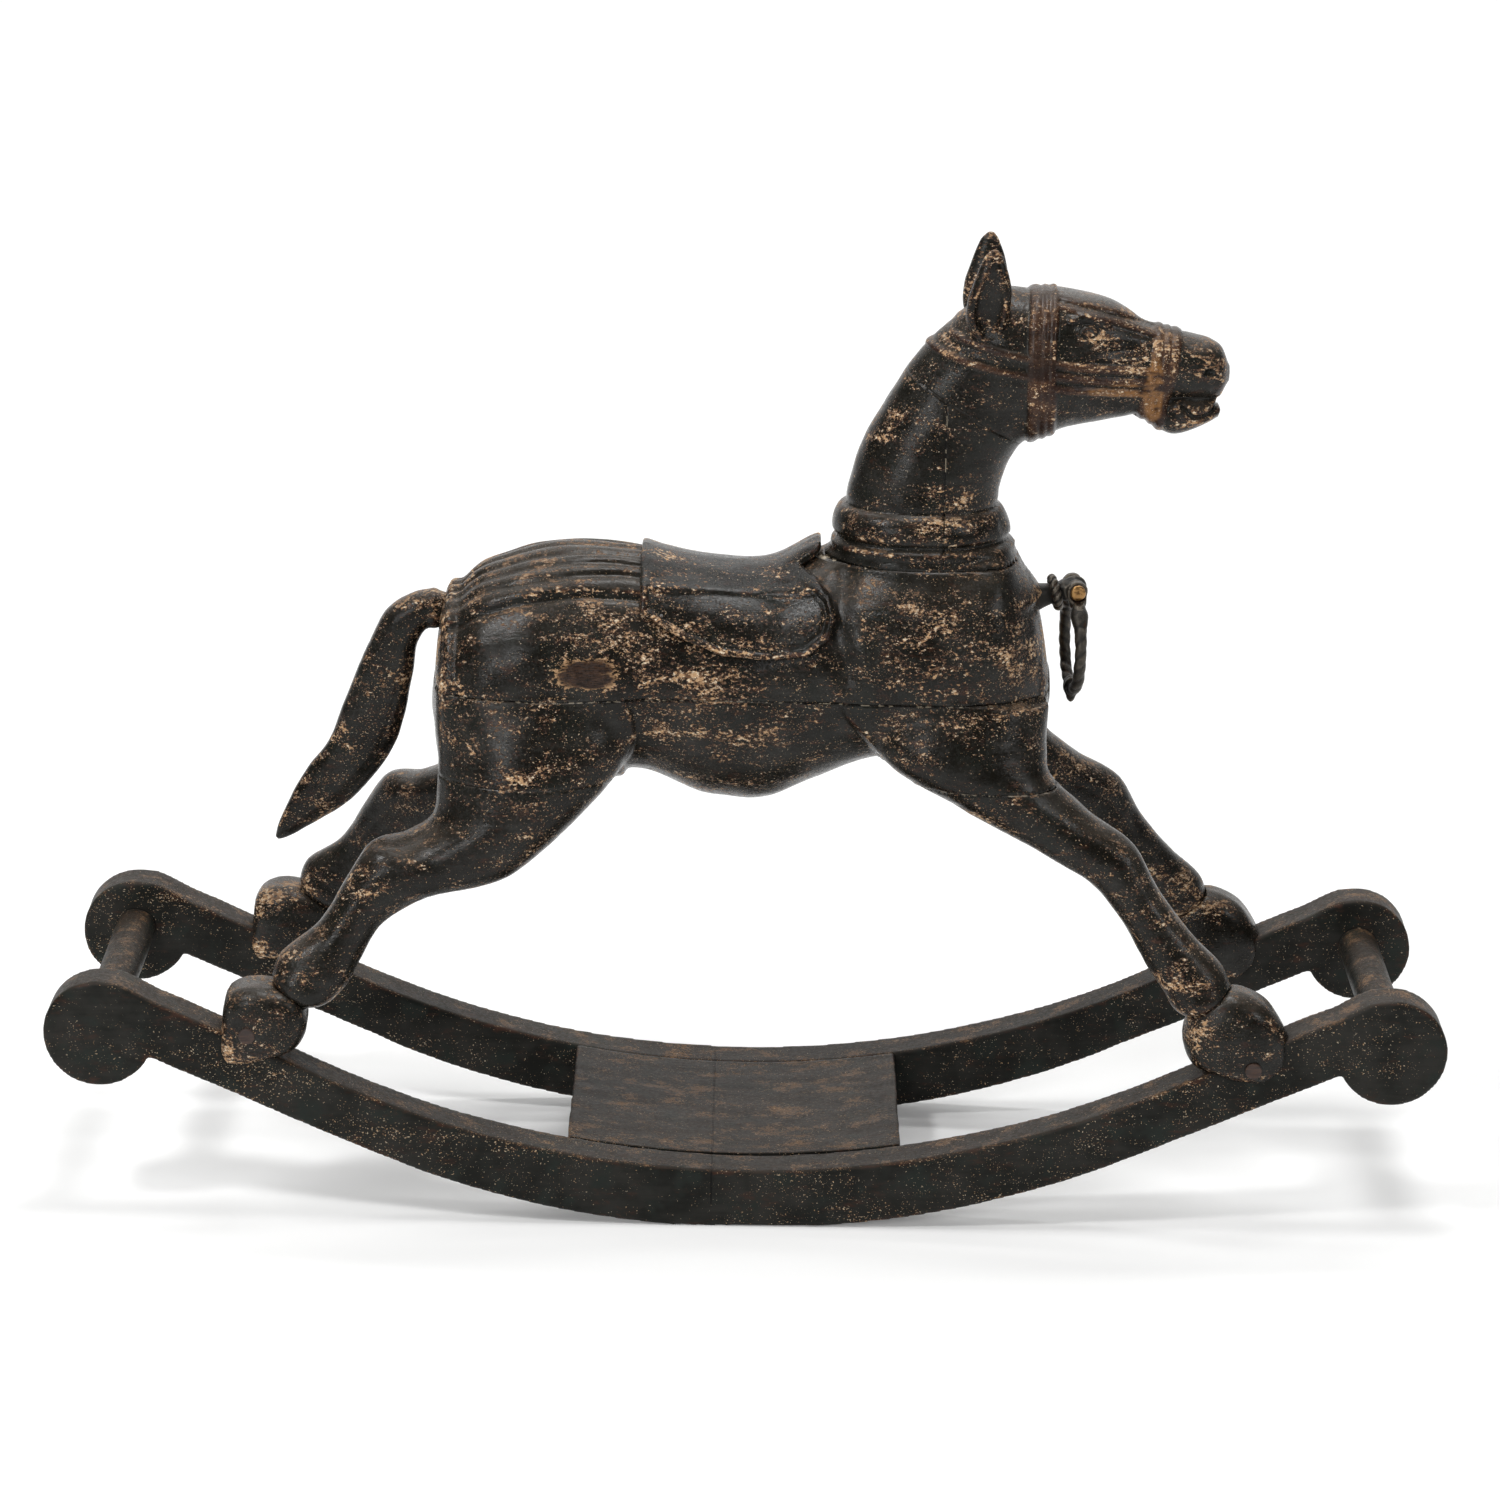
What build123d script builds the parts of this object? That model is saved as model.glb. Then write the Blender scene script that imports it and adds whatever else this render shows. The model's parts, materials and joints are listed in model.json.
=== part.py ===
from build123d import *
import os
from math import asin, cos, degrees, pi, radians, sin, sqrt, tan

# A carved wooden rocking horse on two sleigh-shaped rockers.
# Millimetres. +X is the way the horse faces, +Y its left side, +Z up.
# The origin is on the floor, midway between the rockers' ends.

# ---- driving dimensions -----------------------------------------------------
SIDES = ("right", "left")

rocker_gap = 196.0        # between the two rockers' inner faces
rocker_thick = 36.5
rocker_radius = 740.0     # lower edge
rocker_flat = 110.0       # worn flat at the lowest point
rocker_depth = 47.0       # at mid length
rocker_top_radius = 780.0
lower_arc_reach = 300.0   # half length of the lower edge's arc, straight beyond it
upper_arc_reach = 330.0   # the same for the upper edge
end_disc_x = 505.0
end_disc_z = 154.0
end_disc_radius = 43.0
rocker_chamfer = 1.5

crossbar_z = 158.0
crossbar_radius = 16.0
tenon_radius = 11.0
tenon_length = 22.0

footboard_rear = -140.0
footboard_front = 124.0
footboard_thick = 22.0

body_seam_z = 416.0       # glue line between the two body blocks
leg_joint_z = 350.0       # flat joint between a leg and the body
neck_joint_z = 517.0      # flat joint between the neck and the body
neck_joint_x = 56.0       # rear end of that joint
neck_seam_x = 147.0       # glue line between the two neck blocks
poll = (112.0, 668.0)     # the joint between neck and head runs from here
throat = (212.0, 606.0)   # to here, seen from the side

oval_facets = 20          # facets round each carved oval
hoof_width = 56.0
hoof_round = 7.0
saddle_thick = 10.0

post_base = (221.0, 0.0, 482.0)
post_pitch = 13.0         # the ring's post points up by this, in degrees
post_yaw = 6.0            # and to the horse's left by this
post_reach = 33.0         # from the chest's surface to the pin
post_root_radius = 11.0
post_tip_radius = 7.0
collar_reach = 17.0       # from the chest's surface to the rope-twist collar
collar_radius = 11.5
collar_bar_radius = 3.6
shank_radius = 4.0
shank_length = 32.0
ring_radius = 38.0        # centre line of the pull ring
ring_bar_radius = 5.0
ring_drop = 44.0          # from the pin's axis to the ring's centre
lug_offset = 12.0         # from the post's axis to the middle of each ring lug
lug_radius = 8.0
knuckle_radius = 9.0
lug_thick = 6.0
pin_radius = 3.0
pin_clearance = 0.05
pin_head_radius = 6.0
pin_head_thick = 3.0
pin_end_play = 0.5        # between a lug and the pin's head

glue_gap = 0.1            # radial gap round a dowel, filled with glue
dowel_radius = 8.0        # pegs in the body, the neck and the tail
small_dowel_radius = 6.0  # pegs in the legs, the head and the footboard
body_dowel_length = 56.0
neck_dowel_length = 80.0
leg_dowel_length = 40.0
head_dowel_length = 46.0
tail_peg_length = 50.0
footboard_dowel_length = 44.0
footboard_dowel_inset = 40.0
fetlock_peg_radius = 4.5
fetlock_peg_length = 26.0
screw_radius = 2.0
screw_length = 24.0
plug_radius = 6.0
plug_depth = 5.0
brad_radius = 1.2
brad_length = 26.0
shank_seat = 4.0          # how far the foot of the ring's post sits in the chest

# ---- derived dimensions -----------------------------------------------------
inner_face = rocker_gap / 2
rocker_mid = inner_face + rocker_thick / 2
flat_half = rocker_flat / 2
knuckle_width = 2 * lug_offset - lug_thick - 1.0
flat_rise = rocker_radius - sqrt(rocker_radius**2 - flat_half**2)
BIG = 2000.0


# ---- helpers ------------------------------------------------------------------
def station(start, end, thick, y=0.0):
    """An oval of straight facets, from start to end in the side view and thick across, at y."""
    dx = end[0] - start[0]
    dz = end[1] - start[1]
    length = sqrt(dx * dx + dz * dz)
    middle = ((start[0] + end[0]) / 2, y, (start[1] + end[1]) / 2)
    along = Vector(dx / length, 0, dz / length)
    plane = Plane(origin=middle, x_dir=along, z_dir=along.cross(Vector(0, 1, 0)))
    turns = [2 * pi * i / oval_facets for i in range(oval_facets)]
    rim = [(length / 2 * cos(turn), thick / 2 * sin(turn)) for turn in turns]
    return plane * make_face(Polyline(*rim, close=True))


def loft_stations(stations):
    """One smooth solid through a list of (start, end, thickness, y) stations."""
    return loft([station(*each) for each in stations])


def slab(x=(-BIG, BIG), y=(-BIG, BIG), z=(-BIG, BIG)):
    """A box between the given limits."""
    size = (x[1] - x[0], y[1] - y[0], z[1] - z[0])
    middle = ((x[0] + x[1]) / 2, (y[0] + y[1]) / 2, (z[0] + z[1]) / 2)
    return Pos(*middle) * Box(*size)


def side_extrusion(points, y_from, y_to):
    """The closed side-view outline through points, made solid from y_from to y_to."""
    outline = make_face(Polyline(*points, close=True))
    return extrude(Plane.XZ.offset(-y_from) * outline, amount=y_from - y_to)


def dowel(middle, direction, radius, length):
    """A round peg centred at middle, along direction."""
    return Plane(origin=middle, z_dir=direction) * Cylinder(radius, length)


def bores(dowels, gap=glue_gap):
    """What the holes for a list of (middle, direction, radius, length) dowels remove."""
    return [dowel(middle, direction, radius + gap, length)
            for middle, direction, radius, length in dowels]


def drill(solid, dowels):
    """The solid with the holes for those dowels."""
    for hole in bores(dowels):
        solid = solid - hole
    return solid


def group(dowels):
    """Several separate pegs as one node."""
    return Compound([dowel(*each).solid() for each in dowels])


def mirrored(dowels):
    """The dowels of the horse's right side and their mirror images on the left."""
    left = [((m[0], -m[1], m[2]), (d[0], -d[1], d[2]), r, n) for m, d, r, n in dowels]
    return dowels + left


def on_side(solid, side):
    """A right-hand piece as it is, or mirrored to the left."""
    return solid if side == "right" else mirror(solid, about=Plane.XZ)


def biggest(shape):
    """The largest solid of a shape, without the crumbs that a cut can leave."""
    return max(shape.solids(), key=lambda each: each.volume)


# ---- the rockers and what joins them --------------------------------------------
def lower_edge(x):
    """Height of the rocker's lower edge at x."""
    reach = min(abs(x), lower_arc_reach)
    slope = tan(asin(reach / rocker_radius))
    arc = rocker_radius - sqrt(rocker_radius**2 - reach**2) - flat_rise
    return max(0.0, arc + (abs(x) - reach) * slope)


def upper_edge(x, drop=0.0):
    """Height of the rocker's upper edge at x, or of a line that far below it."""
    radius = rocker_top_radius + drop
    reach = min(abs(x), upper_arc_reach)
    arc = radius - sqrt(radius**2 - reach**2)
    return rocker_depth - drop + arc + (abs(x) - reach) * tan(asin(reach / radius))


def rocker_outline():
    """The rocker's side view: a curved band with a disc at each end."""
    end = end_disc_x - end_disc_radius * 0.7
    upper_left = (-upper_arc_reach, upper_edge(upper_arc_reach))
    upper_right = (upper_arc_reach, upper_edge(upper_arc_reach))
    lower_left = (-lower_arc_reach, lower_edge(lower_arc_reach))
    lower_right = (lower_arc_reach, lower_edge(lower_arc_reach))
    arc_middle = (flat_half + lower_arc_reach) / 2
    edges = [
        ThreePointArc(upper_left, (0, upper_edge(0)), upper_right),
        Line(upper_right, (end, upper_edge(end))),
        Line((end, upper_edge(end)), (end, lower_edge(end))),
        Line((end, lower_edge(end)), lower_right),
        ThreePointArc(lower_right, (arc_middle, lower_edge(arc_middle)), (flat_half, 0)),
        Line((flat_half, 0), (-flat_half, 0)),
        ThreePointArc((-flat_half, 0), (-arc_middle, lower_edge(arc_middle)), lower_left),
        Line(lower_left, (-end, lower_edge(end))),
        Line((-end, lower_edge(end)), (-end, upper_edge(end))),
        Line((-end, upper_edge(end)), upper_left),
    ]
    band = make_face(edges)
    discs = Pos(end_disc_x, end_disc_z) * Circle(end_disc_radius)
    discs += Pos(-end_disc_x, end_disc_z) * Circle(end_disc_radius)
    return band + discs


def make_rocker():
    """The right rocker, before its holes are drilled."""
    plate = extrude(Plane.XZ.offset(inner_face) * rocker_outline(), amount=rocker_thick)
    sides = plate.faces().sort_by(Axis.Y)
    edges = sides[0].edges() + sides[-1].edges()
    return chamfer(edges, rocker_chamfer)


def make_crossbar(x):
    """A round bar between the rockers' end discs, with a turned tenon at each end."""
    bar = dowel((x, 0, crossbar_z), (0, 1, 0), crossbar_radius, rocker_gap)
    tenon = dowel((x, 0, crossbar_z), (0, 1, 0), tenon_radius, rocker_gap + 2 * tenon_length)
    return bar + tenon


def crossbar_tenons():
    """The two tenons that go into one rocker, as dowels on the right side."""
    middle_y = -(inner_face + tenon_length / 2)
    return [((x, middle_y, crossbar_z), (0, 1, 0), tenon_radius, tenon_length)
            for x in (end_disc_x, -end_disc_x)]


def make_footboard():
    """The board between the rockers, bent to the sweep of their upper edges."""
    middle = (footboard_rear + footboard_front) / 2
    ends = []
    for drop in (0.0, footboard_thick):
        ends.append([(x, upper_edge(x, drop)) for x in (footboard_rear, middle, footboard_front)])
    top, under = ends
    face = make_face([
        ThreePointArc(*top),
        Line(top[2], under[2]),
        ThreePointArc(*under),
        Line(under[0], top[0]),
    ])
    return extrude(Plane.XZ.offset(-inner_face) * face, amount=rocker_gap)


def footboard_dowels():
    """Pegs from the rocker into the board's end, on the right side."""
    pegs = []
    for x in (footboard_rear + footboard_dowel_inset, footboard_front - footboard_dowel_inset):
        middle = (x, -inner_face, upper_edge(x, footboard_thick / 2))
        pegs.append((middle, (0, 1, 0), small_dowel_radius, footboard_dowel_length))
    return pegs


# ---- the horse's body -------------------------------------------------------------
def barrel_stations(grow=0.0):
    """(x, underside, top, width) of the body, from the rump to the chest."""
    rows = [
        (-250, 384, 408, 44),
        (-246, 348, 452, 104),
        (-226, 330, 486, 148),
        (-190, 322, 507, 170),
        (-140, 326, 517, 172),
        (-90, 334, 514, 160),
        (-30, 319, 503, 152),
        (10, 317, 503, 154),
        (60, 338, 520, 160),
        (110, 350, 525, 168),
        (160, 352, 530, 166),
        (194, 355, 535, 152),
        (212, 360, 504, 130),
        (224, 368, 478, 104),
        (231, 382, 444, 76),
        (234, 398, 424, 40),
    ]
    return [((x, low - grow), (x, high + grow), width + 2 * grow, 0.0)
            for x, low, high, width in rows]


def hind_leg_stations():
    """(rear outline point, front outline point, thickness, y) down the right hind leg."""
    return [
        ((-243, 400), (-106, 406), 76, -51),
        ((-244, 360), (-96, 368), 92, -56),
        ((-247, 318), (-132, 320), 88, -66),
        ((-268, 304), (-184, 274), 72, -76),
        ((-298, 296), (-258, 253), 54, -87),
        ((-315, 269), (-287, 234), 44, -94),
        ((-336, 237), (-302, 209), 42, -102),
        ((-366, 212), (-314, 188), 46, -110),
        ((-368, 190), (-326, 168), 40, -114),
    ]


def fore_leg_stations():
    """The same down the right fore leg, front outline point first."""
    return [
        ((232, 400), (106, 406), 72, -50),
        ((232, 376), (98, 374), 84, -56),
        ((236, 356), (166, 330), 68, -66),
        ((264, 331), (222, 301), 54, -74),
        ((302, 305), (272, 273), 44, -86),
        ((320, 273), (293, 247), 40, -93),
        ((346, 241), (314, 211), 42, -101),
        ((376, 208), (326, 196), 46, -110),
        ((374, 186), (334, 170), 40, -114),
    ]


def body_dowels():
    """Vertical pegs across the glue line between the body blocks."""
    return [((x, 0, body_seam_z), (0, 0, 1), dowel_radius, body_dowel_length) for x in (-170, -20, 140)]


def leg_dowels():
    """Pegs from the body into the tops of the right legs."""
    spots = ((-190, -62), (-150, -58), (185, -64), (215, -64))
    return [((x, y, leg_joint_z), (0, 0, 1), small_dowel_radius, leg_dowel_length) for x, y in spots]


def neck_dowels():
    """Pegs from the body up into the two neck blocks."""
    return [((x, 0, neck_joint_z), (0, 0, 1), dowel_radius, neck_dowel_length) for x in (105, 175)]


def tail_dowel():
    """The peg that holds the tail in the rump."""
    return [((-240, 0, 460), (1, 0, -0.1), dowel_radius, tail_peg_length)]


def make_body():
    """The body with the tops of the four legs, as upper and lower blocks."""
    barrel = loft_stations(barrel_stations())
    whole = barrel
    for stations in (hind_leg_stations(), fore_leg_stations()):
        leg = loft_stations(stations) & slab(z=(leg_joint_z, BIG))
        whole = whole + leg + mirror(leg, about=Plane.XZ)
    whole = whole - slab(x=(neck_joint_x, BIG), z=(neck_joint_z, BIG))
    upper = biggest(whole & slab(z=(body_seam_z, BIG)))
    lower = biggest(whole & slab(z=(-BIG, body_seam_z)))
    return barrel, upper, lower


def make_leg(stations, barrel):
    """A leg below its joint with the body, on the right side."""
    return biggest((loft_stations(stations) & slab(z=(-BIG, leg_joint_z))) - barrel)


# ---- hooves ---------------------------------------------------------------------
HIND_HOOF = [(-402, 190), (-360, 192), (-344, 176), (-346, 152), (-356, 134),
             (-372, 137), (-404, 139), (-410, 154)]
FORE_HOOF = [(344, 172), (344, 150), (352, 134), (380, 127), (408, 120),
             (424, 123), (430, 140), (424, 160), (408, 180), (380, 196), (358, 192)]


def make_hoof(outline, rocker, leg):
    """A hoof block that straddles the right rocker and meets the leg's end."""
    near = -(rocker_mid - hoof_width / 2)
    block = side_extrusion(outline, near - hoof_width, near)
    sides = block.faces().sort_by(Axis.Y)
    block = chamfer(sides[0].edges() + sides[-1].edges(), hoof_round)
    return biggest(block - rocker - leg)


def hoof_screws():
    """Screws through the outer wall of each right hoof into the rocker."""
    spots = ((-388, 158), (396, 142))
    middle_y = -(rocker_mid + hoof_width / 2 - plug_depth - screw_length / 2)
    return [((x, middle_y, z), (0, 1, 0), screw_radius, screw_length) for x, z in spots]


def hoof_plugs():
    """Wooden plugs that cover the heads of those screws."""
    middle_y = -(rocker_mid + hoof_width / 2 - plug_depth / 2)
    return [((m[0], middle_y, m[2]), d, plug_radius, plug_depth) for m, d, _, _ in hoof_screws()]


def fetlock_pegs():
    """Pegs from the ends of the right legs down into the hooves."""
    return [
        ((-357, -rocker_mid, 184), (0.5, 0, 0.87), fetlock_peg_radius, fetlock_peg_length),
        ((361, -rocker_mid, 184), (-0.5, 0, 0.87), fetlock_peg_radius, fetlock_peg_length),
    ]


# ---- neck, head and ears ------------------------------------------------------------
def make_neck():
    """The neck with its carved collar, as a rear and a front block."""
    neck = loft_stations([
        ((52, 498), (222, 498), 136, 0),
        ((62, 522), (202, 516), 112, 0),
        ((69, 552), (191, 552), 92, 0),
        ((83, 605), (197, 592), 84, 0),
        ((106, 648), (212, 616), 78, 0),
        ((136, 690), (236, 650), 74, 0),
    ])
    collar = loft_stations([
        ((59, 528), (199, 522), 118, 0),
        ((56, 537), (197, 531), 116, 0),
        ((60, 547), (194, 541), 108, 0),
    ])
    neck = (neck + collar) & slab(z=(neck_joint_z, BIG))
    neck = neck - head_side()
    rear = biggest(neck & slab(x=(-BIG, neck_seam_x)))
    front = biggest(neck & slab(x=(neck_seam_x, BIG)))
    return rear, front


def head_side():
    """Everything on the head's side of the joint between neck and head."""
    slope = Vector(throat[0] - poll[0], 0, throat[1] - poll[1]).normalized()
    up = slope.cross(Vector(0, -1, 0))
    if up.Z < 0:
        up = -up
    plane = Plane(origin=(poll[0], 0, poll[1]), x_dir=slope, z_dir=up)
    return plane * Pos(0, 0, BIG / 2) * Box(BIG, BIG, BIG)


def head_dowels():
    """Pegs across the joint between neck and head."""
    slope = Vector(throat[0] - poll[0], 0, throat[1] - poll[1])
    across = Vector(-slope.Z, 0, slope.X).normalized()
    pegs = []
    for share in (0.32, 0.68):
        middle = Vector(poll[0], 0, poll[1]) + slope * share
        pegs.append((tuple(middle), tuple(across), small_dowel_radius, head_dowel_length))
    return pegs


def make_head():
    """The head, with the upper end of the neck that is carved in one with it."""
    crest = loft_stations([
        ((98, 640), (208, 606), 79, 0),
        ((122, 672), (226, 622), 77, 0),
        ((150, 699), (236, 640), 74, 0),
        ((172, 716), (242, 664), 66, 0),
    ])
    skull = loft_stations([
        ((168, 628), (168, 712), 66, 0),
        ((188, 618), (188, 726), 78, 0),
        ((212, 613), (212, 728), 84, 0),
        ((242, 622), (242, 729), 82, 0),
        ((272, 627), (272, 723), 70, 0),
        ((300, 631), (300, 705), 58, 0),
        ((322, 622), (322, 697), 54, 0),
        ((345, 627), (345, 694), 54, 0),
        ((358, 640), (358, 684), 42, 0),
        ((364, 654), (364, 672), 20, 0),
    ])
    return biggest((crest + skull) & head_side())


def make_ear():
    """The right ear, a pricked leaf shape set a little way into the head."""
    return loft_stations([
        ((164, 702), (190, 702), 13, -28),
        ((162, 722), (192, 722), 16, -31),
        ((166, 742), (187, 744), 13, -33),
        ((174, 758), (182, 759), 6, -34),
    ])


# ---- tail -----------------------------------------------------------------------------
def make_tail(barrel):
    """The tail, arched out of the rump and hanging clear of it."""
    tail = loft_stations([
        ((-236, 452), (-236, 474), 22, 0),
        ((-254, 452), (-256, 479), 27, 0),
        ((-262, 440), (-281, 468), 30, 0),
        ((-267, 412), (-307, 424), 28, 0),
        ((-274, 378), (-320, 392), 26, 0),
        ((-286, 345), (-334, 356), 24, 0),
        ((-318, 306), (-351, 332), 22, 0),
        ((-352, 283), (-366, 306), 18, 0),
        ((-370, 272), (-376, 280), 8, 0),
    ])
    return biggest(tail - barrel)


# ---- saddle ---------------------------------------------------------------------------
SADDLE_SIDE = [(-87, 560), (-87, 484), (-80, 480), (-63, 473), (-31, 457), (14, 450), (44, 455),
               (60, 469), (66, 489), (58, 505), (54, 560)]


def make_saddle(barrel):
    """The saddle, a curved panel over the back with a flap down each side."""
    shell = loft_stations(barrel_stations(saddle_thick)) - barrel
    panel = side_extrusion(SADDLE_SIDE, -BIG / 4, BIG / 4)
    return biggest(shell & panel)


def saddle_nails():
    """Brads through the right flap into the body, square to the body's side."""
    spots = ((-70, -57.8, 475.3), (30, -60.7, 463.5))
    return [((x, y, z), (0, -0.84, 0.54), brad_radius, brad_length) for x, y, z in spots]


# ---- pull ring on the chest ---------------------------------------------------------------
def post_frame():
    """The frame whose +Z points out along the post, and +X across it, level."""
    pitch = radians(post_pitch)
    yaw = radians(post_yaw)
    out = Vector(cos(pitch) * cos(yaw), cos(pitch) * sin(yaw), sin(pitch))
    return Plane(origin=post_base, x_dir=(-sin(yaw), cos(yaw), 0), z_dir=out)


def pin_middle():
    """The middle of the pin's axis."""
    return post_frame().from_local_coords((0, 0, post_reach))


def pin_direction():
    """Along the pin, level, towards the horse's left."""
    yaw = radians(post_yaw)
    return Vector(-sin(yaw), cos(yaw), 0)


def make_ring_post():
    """The turned post, its threaded shank in the chest and its knuckle round the pin."""
    frame = post_frame()
    shank = frame * Pos(0, 0, -shank_length / 2) * Cylinder(shank_radius, shank_length)
    root = frame * Pos(0, 0, -shank_seat) * Circle(post_root_radius)
    stem = loft([root, frame * Pos(0, 0, collar_reach) * Circle(post_tip_radius)])
    neck_length = post_reach - collar_reach
    neck = frame * Pos(0, 0, collar_reach + neck_length / 2) * Cylinder(post_tip_radius, neck_length)
    knuckle = dowel(pin_middle(), pin_direction(), knuckle_radius, knuckle_width)
    post = shank + stem + neck + knuckle
    return post - dowel(pin_middle(), pin_direction(), pin_radius, 60.0)


def make_ring_collar(post):
    """The rope-twist collar that sits on the post."""
    frame = post_frame()
    return biggest(frame * Pos(0, 0, collar_reach) * Torus(collar_radius, collar_bar_radius) - post)


def make_ring_pin():
    """The pin through the knuckle and both lugs, with a domed head at each end."""
    reach = lug_offset + lug_thick / 2 + pin_end_play
    middle = pin_middle()
    along = pin_direction()
    pin = dowel(middle, along, pin_radius, 2 * reach)
    for sign in (-1, 1):
        head_middle = middle + along * (sign * (reach + pin_head_thick / 2))
        pin += dowel(head_middle, along, pin_head_radius, pin_head_thick)
    return pin


def make_pull_ring():
    """The ring that hangs from the pin by a lug on each side of the knuckle."""
    middle = pin_middle()
    along = pin_direction()
    centre = middle - Vector(0, 0, ring_drop)
    plane = Plane(origin=centre, x_dir=along, z_dir=along.cross(Vector(0, 0, 1)))
    opening = degrees(asin(lug_offset / ring_radius))
    path = CenterArc((0, 0), ring_radius, 90 + opening, 360 - 2 * opening)
    path = plane * path
    ring = sweep(Plane(origin=path @ 0, z_dir=path % 0) * Circle(ring_bar_radius), path=path)
    for sign in (-1, 1):
        ring += dowel(middle + along * (sign * lug_offset), along, lug_radius, lug_thick)
    knuckle_room = dowel(middle, along, lug_radius + 6, 2 * lug_offset - lug_thick)
    hole = dowel(middle, along, pin_radius + pin_clearance, 60.0)
    outside_lugs = dowel(middle, along, pin_head_radius + pin_end_play, 60.0)
    outside_lugs -= dowel(middle, along, lug_radius, 2 * lug_offset + lug_thick)
    return biggest(ring - knuckle_room - hole - outside_lugs)


def report_pin():
    """Print where the ring's hinge is, for the record."""
    middle = pin_middle()
    along = pin_direction()
    print("ring hinge", [round(v / 1000, 5) for v in middle],
          "axis", [round(-v, 5) for v in along])


# ---- assembly ---------------------------------------------------------------------------
def build():
    """Every node of the horse by name."""
    parts = {}
    rocker = make_rocker()
    barrel, body_upper, body_lower = make_body()
    legs = {
        "hind": make_leg(hind_leg_stations(), barrel) - rocker,
        "fore": make_leg(fore_leg_stations(), barrel) - rocker,
    }
    hooves = {
        "hind": make_hoof(HIND_HOOF, rocker, legs["hind"]),
        "fore": make_hoof(FORE_HOOF, rocker, legs["fore"]),
    }
    pins = footboard_dowels() + crossbar_tenons() + hoof_screws()
    for side in SIDES:
        parts[f"rocker_{side}"] = on_side(drill(rocker, pins), side)
        for end, leg in legs.items():
            drilled = drill(leg, leg_dowels() + fetlock_pegs())
            parts[f"{end}_leg_{side}"] = on_side(biggest(drilled), side)
        for end, hoof in hooves.items():
            drilled = drill(hoof, fetlock_pegs() + hoof_screws() + hoof_plugs())
            parts[f"{end}_hoof_{side}"] = on_side(biggest(drilled), side)

    parts["front_crossbar"] = make_crossbar(end_disc_x)
    parts["rear_crossbar"] = make_crossbar(-end_disc_x)
    parts["footboard"] = drill(make_footboard(), mirrored(footboard_dowels()))
    parts["footboard_dowels"] = group(mirrored(footboard_dowels()))
    parts["hoof_screws"] = group(mirrored(hoof_screws()))
    parts["hoof_plugs"] = group(mirrored(hoof_plugs()))
    parts["fetlock_pegs"] = group(mirrored(fetlock_pegs()))
    parts["leg_dowels"] = group(mirrored(leg_dowels()))
    parts["body_dowels"] = group(body_dowels())
    parts["neck_dowels"] = group(neck_dowels())
    parts["head_dowels"] = group(head_dowels())
    parts["saddle_nails"] = group(mirrored(saddle_nails()))
    parts["tail_peg"] = group(tail_dowel())

    post = make_ring_post()
    nails = mirrored(saddle_nails())
    body_upper = drill(body_upper, body_dowels() + neck_dowels() + tail_dowel() + nails)
    parts["body_upper"] = biggest(body_upper - post)
    parts["body_lower"] = biggest(drill(body_lower, body_dowels() + mirrored(leg_dowels())))
    parts["saddle"] = drill(make_saddle(barrel), nails)
    parts["tail"] = drill(make_tail(barrel), tail_dowel())

    neck_rear, neck_front = make_neck()
    parts["neck_rear"] = drill(neck_rear, neck_dowels() + head_dowels())
    parts["neck_front"] = drill(neck_front, neck_dowels() + head_dowels())
    head = drill(make_head(), head_dowels())
    ear = make_ear()
    for side in SIDES:
        ear_here = on_side(ear, side)
        parts[f"ear_{side}"] = ear_here
        head = head - ear_here
    parts["head"] = biggest(head)

    parts["ring_post"] = post
    parts["ring_collar"] = make_ring_collar(post)
    parts["ring_pin"] = make_ring_pin()
    parts["pull_ring"] = make_pull_ring()
    return parts


os.makedirs("parts", exist_ok=True)
for name, shape in build().items():
    export_step(shape, f"parts/{name}.step")
report_pin()
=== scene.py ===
import json
from math import cos, pi, radians, sin, sqrt
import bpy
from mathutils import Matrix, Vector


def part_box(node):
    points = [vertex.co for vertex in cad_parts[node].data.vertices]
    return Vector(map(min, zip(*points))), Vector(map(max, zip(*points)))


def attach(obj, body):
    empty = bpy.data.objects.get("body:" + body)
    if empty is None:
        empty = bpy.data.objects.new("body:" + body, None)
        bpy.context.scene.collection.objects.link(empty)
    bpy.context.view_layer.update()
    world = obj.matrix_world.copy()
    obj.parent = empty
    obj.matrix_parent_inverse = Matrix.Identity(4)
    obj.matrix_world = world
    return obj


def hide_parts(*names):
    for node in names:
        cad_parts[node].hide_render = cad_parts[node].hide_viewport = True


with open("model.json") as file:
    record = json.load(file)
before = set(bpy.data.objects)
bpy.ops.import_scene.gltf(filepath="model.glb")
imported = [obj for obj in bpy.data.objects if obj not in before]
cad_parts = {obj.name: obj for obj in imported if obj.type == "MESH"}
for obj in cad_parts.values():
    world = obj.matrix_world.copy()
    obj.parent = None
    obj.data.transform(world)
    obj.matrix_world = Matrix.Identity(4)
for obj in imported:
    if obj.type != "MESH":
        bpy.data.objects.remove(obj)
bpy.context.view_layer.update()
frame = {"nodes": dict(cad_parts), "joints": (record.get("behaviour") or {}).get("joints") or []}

from types import SimpleNamespace

import bpy
import numpy as np
from mathutils import Matrix, Vector

# The looks of a carved rocking horse. Every piece that shows is shaped as a distance field on a
# grid, in millimetres, and turned into a mesh. X is forward, Y is the horse's left and Z is up.

MM = 0.001
FAR = 60.0                 # what a field says far from its shape

# ---- sizes read from the frame --------------------------------------------------------


def corners(node):
    """The lowest and highest corner of a CAD node, in millimetres."""
    low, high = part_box(node)
    return np.array(low) / MM, np.array(high) / MM


rocker_low, rocker_high = corners("rocker_right")
board_low, board_high = corners("footboard")
bar_low, bar_high = corners("front_crossbar")
neck_low, neck_high = corners("neck_rear")
hinge = frame["joints"][0]

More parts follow.
